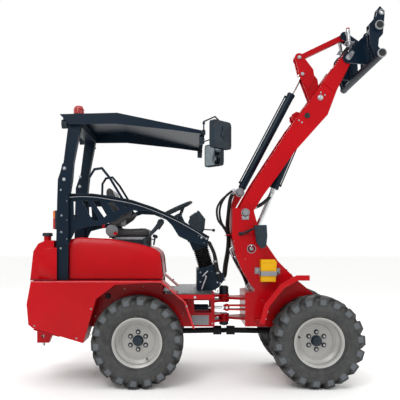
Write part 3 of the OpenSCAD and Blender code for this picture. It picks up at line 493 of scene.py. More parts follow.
def tyre_mesh():
    bm = bmesh.new()
    line = carcass()
    n = 96
    whole = [Vector((-p.x, p.y)) for p in line[:0:-1]] + line
    inner = [Vector((0.098, 0.222)), Vector((0.104, 0.262)), Vector((0.104, 0.300)), Vector((0.086, 0.333)),
             Vector((0, 0.340)), Vector((-0.086, 0.333)), Vector((-0.104, 0.300)), Vector((-0.104, 0.262)),
             Vector((-0.098, 0.222))]
    ring = whole + [Vector((0.1045, 0.1962))] + inner + [Vector((-0.1045, 0.1962))]
    rings = []
    for i in range(n):
        a = 2 * math.pi * i / n
        rings.append([bm.verts.new((p.y * math.cos(a), p.y * math.sin(a), p.x)) for p in ring])
    m = len(ring)
    for i in range(n):
        a, b = rings[i], rings[(i + 1) % n]
        for k in range(m):
            bm.faces.new([a[k], b[k], b[(k + 1) % m], a[(k + 1) % m]])
    # lugs: axial place and radius at the carcass, axial place and radius of the top, sweep in degrees,
    # half width; lengths in metres
    lug = [[-0.004, 0.3600, 0.004, 0.3895, 0.0, 0.029], [0.010, 0.3600, 0.012, 0.3925, 1.0, 0.033],
           [0.040, 0.3590, 0.042, 0.3920, 3.6, 0.034], [0.075, 0.3560, 0.080, 0.3905, 6.8, 0.035],
           [0.100, 0.3490, 0.113, 0.3878, 9.4, 0.037], [0.108, 0.3400, 0.1250, 0.3790, 10.2, 0.037],
           [0.114, 0.3280, 0.1292, 0.3640, 10.7, 0.036], [0.118, 0.3160, 0.1300, 0.3400, 11.1, 0.035],
           [0.121, 0.3080, 0.1300, 0.3200, 11.4, 0.033], [0.1235, 0.2990, 0.1288, 0.3105, 11.6, 0.026]]
    for side in (1, -1):
        for k in range(LUGS):
            start = lug_start(k, side)
            prev = None
            for z0, r0, z1, r1, sweep, half in lug:
                row = []
                for off, z, r in ((-half - 0.008, z0, r0), (-half, z1, r1), (half, z1, r1),
                        (half + 0.008, z0, r0)):
                    ang = math.radians(start + sweep) + off / r
                    row.append(bm.verts.new((r * math.cos(ang), r * math.sin(ang), side * z)))
                if prev:
                    for j in range(4):
                        bm.faces.new([prev[j], row[j], row[(j + 1) % 4], prev[(j + 1) % 4]])
                else:
                    bm.faces.new(row)
                prev = row
            bm.faces.new(prev[::-1])
    # raised rings on both sidewalls
    for side in (1, -1):
        for r0, ax, h in ((0.2335, 0.1148, 0.0022), (0.2640, 0.1252, 0.0016)):
            bmesh_ring(bm, r0, side * ax, 0.0032, h * side, n)
    bmesh.ops.recalc_face_normals(bm, faces=bm.faces)
    return bm


def lug_faces():
    """The flat end faces of the lugs on both flanks, standing a little proud; their lighter rubber is painted
    highlight.
    """
    bm = bmesh.new()
    for side in (1, -1):
        for k in range(LUGS):
            start = math.radians(lug_start(k, side) + 10.9)
            rows = []
            for z in (0.1270, 0.1335):
                slim = 0.0 if z < 0.13 else 0.003
                for r, half in ((0.318 + slim, 0.0225), (0.330, 0.0265), (0.366 - slim, 0.0275)):
                    for t in (-1, 1):
                        ang = start + t * (half - slim) / r + (0.365 - r) * 0.25
                        rows.append(bm.verts.new((r * math.cos(ang), r * math.sin(ang), side * z)))
            for f in ((6, 7, 9, 8), (8, 9, 11, 10), (0, 1, 7, 6), (4, 5, 11, 10), (0, 2, 8, 6),
                    (2, 4, 10, 8), (1, 3, 9, 7),
                      (3, 5, 11, 9), (0, 1, 3, 2), (2, 3, 5, 4)):
                bm.faces.new([rows[i] for i in f])
    bmesh.ops.recalc_face_normals(bm, faces=bm.faces)
    return bm


def bmesh_ring(bm, r, z, w, h, n):
    rings = [[bm.verts.new((q * math.cos(a), q * math.sin(a),
        z + dz)) for a in (2 * math.pi * i / n for i in range(n))]
             for q, dz in ((r - w, -h), (r - w * 0.5, h), (r + w * 0.5, h), (r + w, -h))]
    for a, b in zip(rings, rings[1:]):
        for i in range(n):
            bm.faces.new([a[i], b[i], b[(i + 1) % n], a[(i + 1) % n]])


def wheel_piece(bm, name, mat, place, side):
    """A mesh around Z put on its wheel; it is mirrored on the left, so that the bars agree."""
    if side > 0:
        bm.transform(Matrix.Scale(-1, 4, (0, 1, 0)))
        bmesh.ops.reverse_faces(bm, faces=bm.faces)
    bm.transform(place)
    return from_bmesh(bm, name, mat)


def wheel(tag, front, side):
    hub = joints["wheel_%s_spin" % tag]["pos_m"]
    # local Z points outwards; bars on both wheels of an axle point the same way round
    place = Matrix.Translation(hub) @ Matrix.Rotation(math.radians(-90 * side), 4, "X")
    o = wheel_piece(tyre_mesh(), "Tyre." + tag, TYRE, place, side)
    o.data.shade_smooth()
    o.data.set_sharp_from_angle(angle=math.radians(38))
    bevel_edges(o, 2.2, 2, 42)
    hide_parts("tyre_" + tag)
    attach(o, "wheel_" + tag)
    o = wheel_piece(lug_faces(), "Lug_faces." + tag, LUG_HIGHLIT, place, side)
    bevel_edges(o, 1.5, 2, 35)
    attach(o, "wheel_" + tag)
    # hub cap, nuts and valve on the rim's disc; dark discs behind the nuts are painted shade
    x = (hub[0] - PIVOT_X) * 1000
    y = hub[1] * 1000
    z = hub[2] * 1000
    out = (0, side, 0)
    face = y - side * 2
    cap = Shape()
    cap.lathe([[0, -8], [47, -8], [47, 10], [44, 14], [41, 40], [37, 46], [0, 47]], (x, face, z), out, 40)
    cap.lathe([[0, 46], [9, 46], [8, 50], [0, 51]], (x, face, z), out, 12)
    cap.done("Hub_cap." + tag, PLASTIC, "wheel_" + tag, bevel=1.5, smooth=30)
    nuts, nut_shadows = shapes(2)
    for k in range(6):
        a = math.radians(60 * k + 30)
        q = (x + R_NUTS * math.cos(a), y - side * 2, z + R_NUTS * math.sin(a))
        # a dark disc behind each nut: painted shade of the recess round it
        nut_shadows.lathe(disc(21, 3.4), q, out, 20)
        nuts.hex(q, out, 12, 17, up=(math.cos(a), 0, math.sin(a)))
        nuts.rod(q, (q[0], q[1] + side * 24, q[2]), 7.5, 12)
    nut_shadows.done("Nut_shadows." + tag, BOOT, "wheel_" + tag, bevel=0.3)
    nuts.done("Wheel_nuts." + tag, ZINC, "wheel_" + tag, bevel=0.8, smooth=30)
    valve = Shape()
    a = math.radians(-61 if front < 0 else 166)
    q = (x + R_VALVE * math.cos(a), y + side * 52, z + R_VALVE * math.sin(a))
    valve.rod(q, (q[0] - 8 * math.cos(a), q[1] + side * 34, q[2] - 8 * math.sin(a)), 4.5, 12)
    valve.lathe([[0, -6], [9, -6], [9, 5], [0, 5]], q, (math.cos(a), 0, math.sin(a)), 16)
    valve.done("Valve." + tag, PLASTIC, "wheel_" + tag, bevel=0.6)


for tag, front, side in (("rl", -1, 1), ("rr", -1, -1), ("fl", 1, 1), ("fr", 1, -1)):
    wheel(tag, front, side)

# ---- CAD nodes' finishes -----------------------------------------------------------------
FINISH = {
    RED: ["rear_chassis", "rear_skirt", "hoods", "front_chassis", "boom", "bellcrank", "link_bar"],
    DARK: ["post_frame", "canopy", "guard_beams", "column_stand", "hitch", "lift_barrel", "tilt_barrel",
        "steer_barrel"],
    STEEL_NAVY: ["rear_axle", "front_axle"],
    SILVER: ["rim_rl", "rim_rr", "rim_fl", "rim_fr"],
    CHROME: ["lift_rod", "tilt_rod", "steer_rod"],
    PIN: ["crank_pin", "link_pin", "hitch_pins"],
    PLASTIC: ["seat_base", "dash_pod", "mirrors", "steering_wheel", "lamps", "front_lamps", "pivot_pins",
              "seat_back", "seat_cushion"],
    BOOT: ["column_boot"],
    TREAD: ["floor_plate"],
    YELLOW: ["wheel_chock"],
    BLOCK: ["engine"],
}
for mat, names in FINISH.items():
    for name in names:
        o = frame["nodes"][name]
        if not o.data.materials:
            o.data.materials.append(mat)
        for s in o.material_slots:
            s.link = "OBJECT"
            s.material = mat

# ---- driver's place ----------------------------------------------------------------------


def applied(o, name):
    """A new object with the modifiers of o made real."""
    me = bpy.data.meshes.new_from_object(o.evaluated_get(bpy.context.evaluated_depsgraph_get()))
    me.name = name
    new = add(name, me)
    bpy.data.objects.remove(o)
    return new


def cushion(name, body, outline, w, held, cap, round_by=22, replaces=None):
    """A stuffed pad from a side outline; held says which points are sewn down or rest on something."""
    s = Shape()
    s.prism(outline, w[0], w[1])
    bmesh.ops.recalc_face_normals(s.bm, faces=s.bm.faces)
    o = from_bmesh(s.bm, name)
    bevel_edges(o, round_by, 4, 25).use_clamp_overlap = True
    r = o.modifiers.new("remesh", "REMESH")
    r.mode, r.voxel_size = "VOXEL", 0.006
    o = applied(o, name)
    me = o.data
    start = [v.co.copy() for v in me.vertices]
    group = o.vertex_groups.new(name="held")
    for v in me.vertices:
        p = ((v.co.x - PIVOT_X) * 1000, v.co.y * 1000, v.co.z * 1000)
        group.add([v.index], 1.0 if held(p) else 0.0, "REPLACE")
    c = o.modifiers.new("cloth", "CLOTH")
    c.settings.quality = 5
    c.settings.mass = 0.3
    c.settings.use_pressure = True
    c.settings.uniform_pressure_force = 4
    c.settings.vertex_group_mass = "held"
    c.settings.effector_weights.gravity = 0
    scene = bpy.context.scene
    for f in range(1, 21):
        scene.frame_set(f)
    o = applied(o, name)
    me = o.data
    for v, q in zip(me.vertices, start):
        d = v.co - q
        if d.length > cap / 1000:
            v.co = q + d.normalized() * cap / 1000
    scene.frame_set(1)
    me.materials.clear()
    me.materials.append(VINYL)
    me.shade_smooth()
    sub = o.modifiers.new("subsurf", "SUBSURF")
    sub.levels = sub.render_levels = 1
    if replaces:
        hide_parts(replaces)
    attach(o, body)


SEAT_Z = 1291
cushion("Chair_cushion", "rear_frame",
        [[-1006, SEAT_Z + 1], [-697, SEAT_Z + 1], [-682, SEAT_Z + 24], [-690, SEAT_Z + 58],
            [-712, SEAT_Z + 70],
         [-850, SEAT_Z + 64], [-1006, SEAT_Z + 70]], (-208, 208),
        lambda p: p[2] < SEAT_Z + 8 or (p[2] > SEAT_Z + 30 and (abs(p[0] + 800) < 5 or abs(p[0] + 905) < 5)
                                         and abs(p[1]) < 150)
        or (p[2] > SEAT_Z + 30 and abs(abs(p[1]) - 150) < 5 and p[0] < -735), 12, replaces="seat_cushion")
BACK_Z = 1381
back = [[-992, BACK_Z + 8], [-938, BACK_Z + 8], [-934, BACK_Z + 60], [-996, BACK_Z + 280],
    [-1024, BACK_Z + 338],
        [-1054, BACK_Z + 346], [-1074, BACK_Z + 322], [-1066, BACK_Z + 200], [-1034, BACK_Z + 26]]
cushion("Chair_back", "rear_frame", back, (-208, 208),
        lambda p: abs(abs(p[1]) - 140) < 5 or abs(p[2] - BACK_Z - 110) < 5 or abs(p[2] - BACK_Z - 215) < 5,
        10, replaces="seat_back")
for s, tag in ((-1, "right"), (1, "left")):
    cushion("Armrest." + tag, "rear_frame",
            [[-1032, 1408], [-1012, 1448], [-930, 1494], [-850, 1518], [-832, 1500], [-870, 1452],
                [-940, 1404], [-990, 1384]],
            sorted((s * 224, s * 262)), lambda p: False, 5, round_by=12)
hinge = Shape()
for s in (-1, 1):
    y = sorted((s * 221, s * 229))
    hinge.prism([[-1040, 1275], [-990, 1275], [-985, 1330], [-990, 1441], [-1040, 1441], [-1048, 1330]], *y)
    hinge.rod((-1012, s * 206, 1411), (-1012, s * 226, 1411), 14)
    hinge.rod((-1012, s * 200, 1280), (-1012, s * 226, 1280), 10)
hinge.done("Chair_brackets", DARK, bevel=1.5)
cover = Shape()
cover.sides([[0, 0], [56, 0], [56, 10], [50, 18], [20, 24], [0, 25]], -1016, 229, 1340, 36)
cover.done("Chair_hinge_covers", GREY, bevel=2)
rail = Shape()
for s in (-1, 1):
    rail.box((-1010, s * 196 - 9, 1262), (-700, s * 196 + 9, 1283))
    rail.hex((-720, s * 206, 1272), (0, s, 0), 8, 8)
    rail.hex((-985, s * 206, 1272), (0, s, 0), 8, 8)
rail.tube([(-700, -170, 1268), (-672, -170, 1266), (-664, -150, 1262), (-664, 150, 1262), (-672, 170, 1266),
           (-700, 170, 1268)], 6)
rail.done("Chair_rails", PIN, bevel=1)

# joystick with its bellows, a knob in front of it, and the lever's grip
Y_STICK = -245
stick = Shape()
for i in range(7):
    t = i / 6
    stick.lathe([[0, -7], [44 - 18 * t, -7], [49 - 19 * t, 0], [44 - 18 * t, 7], [0, 7]],
                (-716 + 26 * t, Y_STICK, 1190 + 86 * t), (0.3, 0, 0.95), 28)
stick.done("Joystick_bellows", BOOT, bevel=1.5, smooth=50)
grip = Shape()
grip.rod((-690, Y_STICK, 1276), (-655, Y_STICK, 1330), 9)
grip.tube(spline([(-664, Y_STICK, 1318), (-630, Y_STICK, 1356), (-598, Y_STICK, 1400),
    (-574, Y_STICK, 1430)]), 15, 16)
grip.prism([[-604, 1390], [-556, 1402], [-548, 1432], [-572, 1446], [-600, 1438], [-612, 1412]],
    Y_STICK - 17, Y_STICK + 17)
grip.done("Joystick_grip", PLASTIC, bevel=6, smooth=25, segments=3)
knob = Shape()
knob.lathe([[0, -14], [20, -14], [24, -6], [24, 8], [14, 16], [0, 17]], (-634, -150, 1290),
    (0.35, 0, 0.94), 24)
knob.rod((-648, -150, 1210), (-636, -150, 1280), 8)
knob.done("Chair_knob", PLASTIC, bevel=1.5)

# instrument pod: face, gauge, switches; column lever
pod = Shape()
pod.prism([[-320, 1462], [-240, 1521], [-236, 1527], [-318, 1468]], -70, 70)
for y in (-45, -15, 15, 45):
    pod.box((-252, y - 9, 1508), (-238, y + 9, 1530))
pod.lathe([[0, 0], [38, 0], [38, 6], [33, 9], [0, 9]], (-292, 0, 1489), (-0.59, 0, 0.81), 32)
pod.done("Pod_face", GREY, bevel=1.5)
lever = Shape()
lever.tube(spline([(-205, -88, 1345), (-190, -130, 1352), (-150, -170, 1350), (-112, -180, 1346)]), 6, 12)
lever.lathe([[0, -12], [12, -12], [14, 0], [10, 12], [0, 13]], (-104, -182, 1345), (1, 0, 0), 20)
lever.done("Column_lever", PLASTIC, bevel=1)
guide = Shape()
guide.tube(spline([(-157, -232, 1246), (-106, -224, 1136), (-86, -222, 1006), (-52, -214, 904)]), 13, 16)
guide.tube(spline([(-140, -206, 1240), (-92, -200, 1130), (-66, -208, 1000), (-42, -196, 910)]), 9, 14)
guide.done("Column_conduits", HOSE)
clip = Shape()
for x, y, z in ((-94, -223, 1066), (-72, -219, 962)):
    clip.lathe(ring(17, 20, -8, 8), (x, y, z), (0.18, 0, -0.98), 20)
clip.done("Conduit_clips", PIN, bevel=0.5)
pedal = Shape()
pedal.tube(spline([(-214, -236, 815), (-196, -236, 868), (-176, -236, 922), (-182, -236, 942)]), 8, 12)
pedal.prism([[-212, 936], [-205, 930], [-156, 980], [-163, 987]], -268, -204)
pedal.done("Pedal", ZINC, bevel=2)

# ---- mirrors and lamps -------------------------------------------------------------------

def mirror_frame(s):
    """Centre of one mirror and the way its back points."""
    c = (-64, s * 520, 2137)
    a = math.radians(45) * s
    return c, (math.cos(a), math.sin(a), 0)


back_shape, glass_shape = shapes(2)
for s in (-1, 1):
    c, n = mirror_frame(s)
    n = Vector(n)
    across = Vector((-n.y, n.x, 0))

    def on(a, z, out):
        p = Vector(c) + across * a + n * out
        return (p.x, p.y, c[2] + z)

    def panel(shape, half, h0, h1, r, shrink=1.0):
        pts = []
        for qx, qz in ((1, 1), (-1, 1), (-1, -1), (1, -1)):
            for k in range(7):
                t = math.atan2(qz, qx) + math.radians(15 * k - 45)
                pts.append((qx * (half - r) + r * math.cos(t), qz * (half - r) + r * math.sin(t)))
        a = [at(*on(x, z, h0)) for x, z in pts]
        b = [at(*on(x * shrink, z * shrink, h1)) for x, z in pts]
        shape.faces(a + b, loft(len(pts)))

    panel(back_shape, 114, 18, 30, 30, 0.84)
    panel(back_shape, 115, -21, 20, 24)
    panel(glass_shape, 103, -24, -20, 18)
    for z in (-1, 1):
        back_shape.rod(on(-60, z * 60, 26), on(60, z * 60, 26), 4, 8)
    back_shape.lathe([[0, 0], [30, 0], [30, 10], [22, 18], [0, 19]], on(0, 0, 28), tuple(n), 28)
    back_shape.box(tuple(v - 9 for v in on(0, 24, 38)), tuple(v + 9 for v in on(0, 62, 42)))
    back_shape.hex(on(0, 0, 46), tuple(n), 9, 7)
back_shape.done("Mirror_backs", PLASTIC, bevel=3)
glass_shape.done("Mirror_glass", MIRROR, bevel=1)
clamps = Shape()
for s in (-1, 1):
    for y, z in ((465, 2184), (478, 2246)):
        clamps.lathe(ring(8, 11, -9, 9), (-203, s * y, z), (0, s * 0.15, 1), 16)
    clamps.box((-219, min(s * 452, s * 470), 2150), (-188, max(s * 452, s * 470), 2186))
    clamps.hex((-203, s * 470, 2160), (0, s, 0), 7, 6)
    clamps.hex((-203, s * 470, 2176), (0, s, 0), 7, 6)
clamps.done("Mirror_clamps", DARK, bevel=1)

BEACON_X = -1357
beacon = Shape()
beacon.lathe([[0, 0], [50, 0], [50, 8], [49, 44], [45, 62], [34, 73], [16, 78.5], [0, 79]],
    (BEACON_X, 0, 2436), (0, 0, 1), 40)
for i in range(8):
    beacon.lathe([[49, -1.6], [50.8, 0], [49, 1.6], [49, -1.6]], (BEACON_X, 0, 2446 + 4.8 * i), (0, 0, 1), 40)
beacon.done("Beacon_lens", LENS_RED, bevel=0.8)
base = Shape()
base.lathe([[0, 0], [50, 0], [50, 7], [47, 14], [0, 15]], (BEACON_X, 0, 2424), (0, 0, 1), 40)
base.lathe(disc(20, 46), (BEACON_X, 0, 2380), (0, 0, 1), 24)
base.done("Beacon_base", PLASTIC, bevel=1.5)

Y_LAMP = 380
lamp, lamp_glass = shapes(2)
for x, z, back_x in ((-1425, 2259, -1379), (-195, 2126, -239)):
    d = 1 if x > back_x else -1
    for s in (-1, 1):
        lamp.lathe([[34, 0], [39, 0], [39.5, -10], [37, -26], [28, -38], [14, -44], [0, -45]],
            (x, s * Y_LAMP, z), (d, 0, 0), 32)
        for k in range(3):
            lamp.lathe([[38, -2], [40, 0], [38, 2]], (x - d * (10 + 7 * k), s * Y_LAMP, z), (d, 0, 0), 32)
        lamp_glass.lathe([[0, 2.5], [20, 2], [33, 0], [35, -2], [0, -3]], (x, s * Y_LAMP, z), (d, 0, 0), 32)
        lamp.prism([[x - d * 30, z - 8], [x - d * 12, z - 8], [x - d * 12, z + 52], [x - d * 30, z + 52]],
            s * Y_LAMP - 14, s * Y_LAMP + 14)
        lamp.hex((x - d * 21, s * Y_LAMP + 14, z + 44), (0, 1, 0), 6, 5)
        lamp.hex((x - d * 21, s * Y_LAMP - 14, z + 44), (0, -1, 0), 6, 5)
lamp.done("Work_lamp_shells", PLASTIC, bevel=1)
lamp_glass.done("Work_lamp_glass", GLASS, bevel=0.5)
tail_red, tail_amber, tail_case = shapes(3)
tail_case.both([[-1484, 1348], [-1472, 1348], [-1472, 1512], [-1484, 1512]], 343, 393)
tail_red.both([[-1502, 1352], [-1484, 1350], [-1484, 1444], [-1502, 1444]], 343, 393)
tail_amber.both([[-1502, 1447], [-1484, 1447], [-1484, 1510], [-1502, 1507]], 343, 393)
for s in (-1, 1):
    for z in (1362, 1498):
        tail_case.dome((-1502, s * 368, z), (-1, 0, 0), 4, 3)
tail_case.done("Tail_lamp_cases", PLASTIC, bevel=2)
tail_red.done("Tail_lamp_red", LENS_RED, bevel=2)
tail_amber.done("Tail_lamp_amber", LENS_AMBER, bevel=2)

front_case, front_glass, front_amber = shapes(3)
front_glass.both([[342.5, 1214], [346.5, 1222], [350.5, 1288], [346.5, 1372], [340, 1372], [344, 1288],
                  [339, 1220]], 313, 367)
for y in (307, 366):
    front_case.both([[333, 1198], [343, 1206], [352, 1290], [347, 1380], [338, 1386], [336, 1384],
        [342, 1290],
                     [331, 1208]], y, y + 7)
front_amber.both([[334, 1188], [338, 1192], [345, 1214], [341, 1216], [300, 1200], [300, 1186]], 312, 368)
front_case.both([[262, 1262], [300, 1250], [300, 1262], [262, 1274]], 374, 377)
front_case.both([[258, 1300], [322, 1300], [322, 1306], [258, 1306]], 374, 377)
for s in (-1, 1):
    for x, z in ((262, 1250), (258, 1340)):
        front_case.dome((x, s * 374, z), (0, s, 0), 7, 4)
front_case.done("Front_lamp_trim", PLASTIC, "front_frame", bevel=1.2)
front_glass.done("Front_lamp_glass", GLASS, "front_frame", bevel=1)
front_amber.done("Front_lamp_amber", LENS_AMBER, "front_frame", bevel=1)

# ---- rear body ---------------------------------------------------------------------------


def heads(shape, pts, y, r=9, h=6, inward=False, dome=False):
    """Bolt heads on the side faces at |Y| = y."""
    for s in (-1, 1):
        for x, z in pts:
            (shape.dome if dome else shape.hex)((x, s * y, z), (0, -s if inward else s, 0), r, h)


post_trim, bright, dull = shapes(3)
post_trim.both([[-1419, 1916], [-1322, 1906], [-1349, 1658], [-1365, 1648], [-1366, 1213], [-1459, 1213],
    [-1463, 1566], [-1456, 1670], [-1439, 1825]], 401, 406)
post_trim.both([[-1393, 1626], [-1364, 1647], [-1365, 1213], [-1393, 1213]], 406, 411)
post_trim.both([[-1368, 2198], [-1265, 2195], [-1268, 2181], [-1372, 2185]], 401, 404)
heads(bright, [[-1400, 1874], [-1404, 1779]], 406, 11, 8)
heads(bright, [[-1416, 1891], [-1419, 1795]], 336, 11, 8, inward=True)
heads(dull, [[-1431, 1688], [-1425, 1467], [-1427, 1325], [-1432, 1184]], 406, 7, 5)
heads(dull, [[-1378, 1591], [-1378, 1428], [-1378, 1265]], 411, 4, 3, dome=True)
# thin light grey tubes along the guard beams' rolled edges: painted highlight lines
edge = Shape()
for s in (-1, 1):
    edge.tube([(x, s * 395, z) for x, z in spline([[-1358, 1625], [-1251, 1631], [-1138, 1625],
        [-1009, 1606], [-819, 1570], [-636, 1510], [-455, 1431], [-273, 1332], [-172, 1261]])],
                   3.2, 8)
edge.done("Beam_edge_highlights", GREY)
heads(bright, [[-220, 1278], [-177, 1268]], 394, 7, 5)
heads(dull, [[-198, 1232], [-245, 1294]], 394, 4, 3, dome=True)
post_trim.both([[-1295, 1611], [-1243, 1605], [-1241, 1556], [-1290, 1560]], 318, 324)
post_trim.both([[-1318, 1490], [-1264, 1490], [-1259, 1420], [-1313, 1420]], 318, 324)
heads(bright, [[-1268, 1582], [-1291, 1455]], 324, 10, 7)
post_trim.done("Post_plates", DARK, bevel=1)

belt = Shape()
belt.both([[-1100, 1393], [-1075, 1397], [-1070, 1367], [-1095, 1363]], 264, 276)
belt.both([[-992, 1332], [-962, 1324], [-967, 1299], [-996, 1308]], 264, 276)
belt.prism([[-1046, 1398], [-1038, 1398], [-1060, 1530], [-1068, 1530]], -110, -62)
belt.done("Belt_buckles", RED, bevel=2)

# engine cover: raised side panels, seal at the front edge, latches and seam
panel_skin, seal, cap_parts = shapes(3)


def raised(shape, inner, outer, y0, y1):
    """A panel standing off a side face: outer outline at |Y| = y0, inner at y1."""
    for s in (-1, 1):
        v = [at(x, s * y0, z) for x, z in outer] + [at(x, s * y1, z) for x, z in inner]
        shape.faces(v, loft(len(inner)))


raised(panel_skin, [[-1369, 919], [-1369, 1202], [-1279, 1209], [-1020, 1199], [-762, 1155], [-664, 1124],
    [-611, 1083], [-594, 919]],
       [[-1374, 915], [-1375, 1255], [-1279, 1272], [-1020, 1259], [-750, 1211], [-632, 1172],
           [-582, 1136], [-562, 915]], 330.5, 352)
raised(panel_skin, [[-1619, 917], [-1609, 1119], [-1573, 1165], [-1540, 1179], [-1465, 1184], [-1465, 917]],
       [[-1629, 912], [-1617, 1128], [-1579, 1174], [-1543, 1189], [-1458, 1194], [-1458, 912]], 430.5, 434)
panel_skin.done("Hood_panels", RED, bevel=3, segments=3)
seal.both([[-1366, 911], [-560, 911], [-560, 917], [-1366, 917]], 331, 336)
seal.both([[-1687, 911], [-1486, 911], [-1486, 917], [-1687, 917]], 431, 435)
for x in (-860, -650):
    seal.both([[x - 24, 903], [x + 24, 903], [x + 24, 912], [x - 24, 912]], 331, 346)
seal.tube(spline([(-552, -326, 938), (-560, -326, 1000), (-568, -326, 1080), (-578, -326, 1122),
    (-600, -300, 1150), (-604, -250, 1156),
                  (-604, 250, 1156), (-600, 300, 1150), (-578, 326, 1122), (-568, 326, 1080), (-560, 326,
                      1000), (-552, 326, 938)]), 5, 10)
seal.done("Hood_seals", PLASTIC, bevel=1)
cap_parts.lathe([[0, 0], [41.5, 0], [42.5, 4], [42.5, 24], [39, 30], [0, 31.5]], (-1583, -260, 1290.2),
    (0, 0, 1), 24)
for k in range(12):
    a = math.radians(30 * k)
    cap_parts.box((-1583 + 41 * math.cos(a) - 4, -260 + 41 * math.sin(a) - 4, 1293),
                  (-1583 + 41 * math.cos(a) + 4, -260 + 41 * math.sin(a) + 4, 1315))
cap_parts.done("Filler_cap", PLASTIC, bevel=1.5)

# skirt: arch plate rivets, inspection hole (a rubber grommet with a dark disc inside as painted shade),
# flange bolts, rear lip and rear lamp strip
grommet_and_hole_shade = Shape()
heads(bright, [[-900, 823], [-1157, 578], [-1202, 412]], 255, 6, 4, dome=True)
heads(dull, [[-733, 843], [-573, 847], [-536, 818], [-1099, 612], [-381, 609], [-381, 586]], 255, 4, 3,
    dome=True)
skirt_highlight = Shape()
# rounded strips along the skirt's top and flange edges, in the lighter red as painted highlight
for s in (-1, 1):
    skirt_highlight.tube([(-1652, s * 513, 903), (-1300, s * 513, 903.5), (-566, s * 513, 903.5)], 8, 16)
    skirt_highlight.tube([(-566, s * 514, 903.5)] + [(x, s * 514, z) for x, z in [[-360, 732], [-286, 511]]],
        7, 16)
skirt_highlight.done("Skirt_edge_highlights", RED_HIGHLIT)
grommet_and_hole_shade.lathe([[19, -2], [19, 1.5], [24, 2.5], [26, 0], [26, -2], [19, -2]], (-1046, -260, 758),
    (0, -1, 0), 28)
# a dark disc inside the grommet: painted shade of the hole
grommet_and_hole_shade.lathe(disc(19, 0.8), (-1046, -259, 757), (0, -1, 0), 28)
grommet_and_hole_shade.done("Arch_grommet_and_hole_shade", BOOT, bevel=0.6)
heads(dull, [[-485, 848], [-348, 699]], 521, 6, 4)
heads(dull, [[-1626, 535], [-1273, 431], [-1150, 677]], 520, 6, 4)
lip = Shape()
lip.both([[-1640, 500], [-1600, 488], [-1420, 440], [-1418, 446], [-1596, 495], [-1632, 508]], 300, 512)
lip.done("Skirt_lips", RED, bevel=1)
rear_lights, rear_frame_trim = shapes(2)
rear_frame_trim.both([[-1696, 700], [-1690, 700], [-1690, 770], [-1700, 770]], 300, 420)
rear_lights.both([[-1703, 708], [-1697, 708], [-1699, 762], [-1705, 762]], 308, 412)
rear_frame_trim.done("Reflector_frames", PLASTIC, bevel=1.5)
rear_lights.done("Rear_reflectors", LENS_RED, bevel=1.5)
grille = Shape()
for i in range(9):
    grille.prism([[-1688 + i * 2.6, 960 + 20 * i], [-1680 + i * 2.6, 956 + 20 * i],
        [-1674 + i * 2.6, 968 + 20 * i], [-1684 + i * 2.6, 972 + 20 * i]],
                 -300, 300)
grille.done("Rear_grille", PLASTIC, bevel=1)
tow = Shape()
tow.rod((-1687, 0, 270), (-1687, 0, 480), 13)
tow.tube(spline([(-1687, 0, 474), (-1687, 12, 496), (-1687, 30, 500), (-1687, 42, 486), (-1687, 38, 466)]),
    5, 10)
tow.done("Tow_pin", ZINC, bevel=1)

# floor: side rails, end strips, frame bolts, blank plate; pedestal bolts
rail = Shape()
rail.both([[-425, 760], [-124, 760], [-124, 796], [-425, 796]], 500, 504)
rail.both([[-131, 765], [-118, 765], [-118, 806], [-131, 806]], 270, 506)
rail.done("Floor_rails", RED, bevel=1)
heads(bright, [[-278, 773]], 504, 8, 5)
heads(dull, [[-292, 753], [-123, 753], [-292, 514], [-119, 514]], 250, 6, 4)
plate = Shape()
plate.both([[-304, 588], [-151, 588], [-151, 502], [-304, 502]], 250.5, 252)
plate.done("Blank_plate", GREY, bevel=0.6)
heads(dull, [[-224, 966], [-224, 880], [-72, 876], [-45, 867]], 200, 6, 4)
heads(dull, [[-125, 974]], 200, 3, 2, dome=True)
bright.done("Bright_bolts", ZINC, bevel=0.8)
dull.done("Small_bolts", PIN, bevel=0.5)

# ---- front body --------------------------------------------------------------------------
P, A, H = (175, 1500), (230, 1178), (1095.3, 2885.1)
C, K, R, T = (848.4, 2531.7), (698.2, 2953.7), (727.5, 2799.6), (145, 1698)


def keeper(plate, bolts, p, q, y, r0, r1):
    """A teardrop locking plate from pin p to bolt q on the side faces at |Y| = y."""
    h = 5
    for s in (-1, 1):
        d = (Vector(q) - Vector(p)).normalized()
        n = Vector((-d.y, d.x))
        pts = []
        for k in range(9):
            a = math.radians(90 + 22.5 * k)
            pts.append(Vector(p) + r0 * (d * math.cos(a) + n * math.sin(a)))
        for k in range(9):
            a = math.radians(-90 + 22.5 * k)
            pts.append(Vector(q) + r1 * (d * math.cos(a) + n * math.sin(a)))
        plate.prism([[v.x, v.y] for v in pts], *sorted((s * y, s * (y + h))))
        bolts.hex((q[0], s * (y + h), q[1]), (0, s, 0), r1 * 0.5, 6)


tower, tower_bolts, tower_zinc = shapes(3)
for profile, (x, z), y in ((button(28, 6, 24, 10), P, 262), (ring(30, 38, 0, 6), P, 250),
                           (button(19, 5, 15, 8), A, 236), ([[33, -3], [34, 2], [40, 2], [42, -3],
                               [33, -3]], A, 250),
                           (button(29, 5, 24, 9), T, 50), (ring(30, 43, 0, 3), T, 47)):
    tower.sides(profile, x, y, z, 28 if y in (50, 47, 236) else 32)
tower.both([[P[0] + x, P[1] + z] for x, z in ((-30, -62), (30, -62), (34, -34), (18, -22), (-18, -22),
    (-34, -34))],
           250, 256)
heads(tower_zinc, [[P[0] - 16, P[1] - 44], [P[0] + 16, P[1] - 44]], 256, 9, 7)
heads(tower_zinc, [[A[0] - 8, A[1] + 6]], 242, 7, 5)
heads(tower_bolts, [[174, 1089], [72, 1246], [327, 718]], 250, 4, 3, dome=True)
tower.done("Tower_pins", PIN, "front_frame", bevel=1)
wire = Shape()
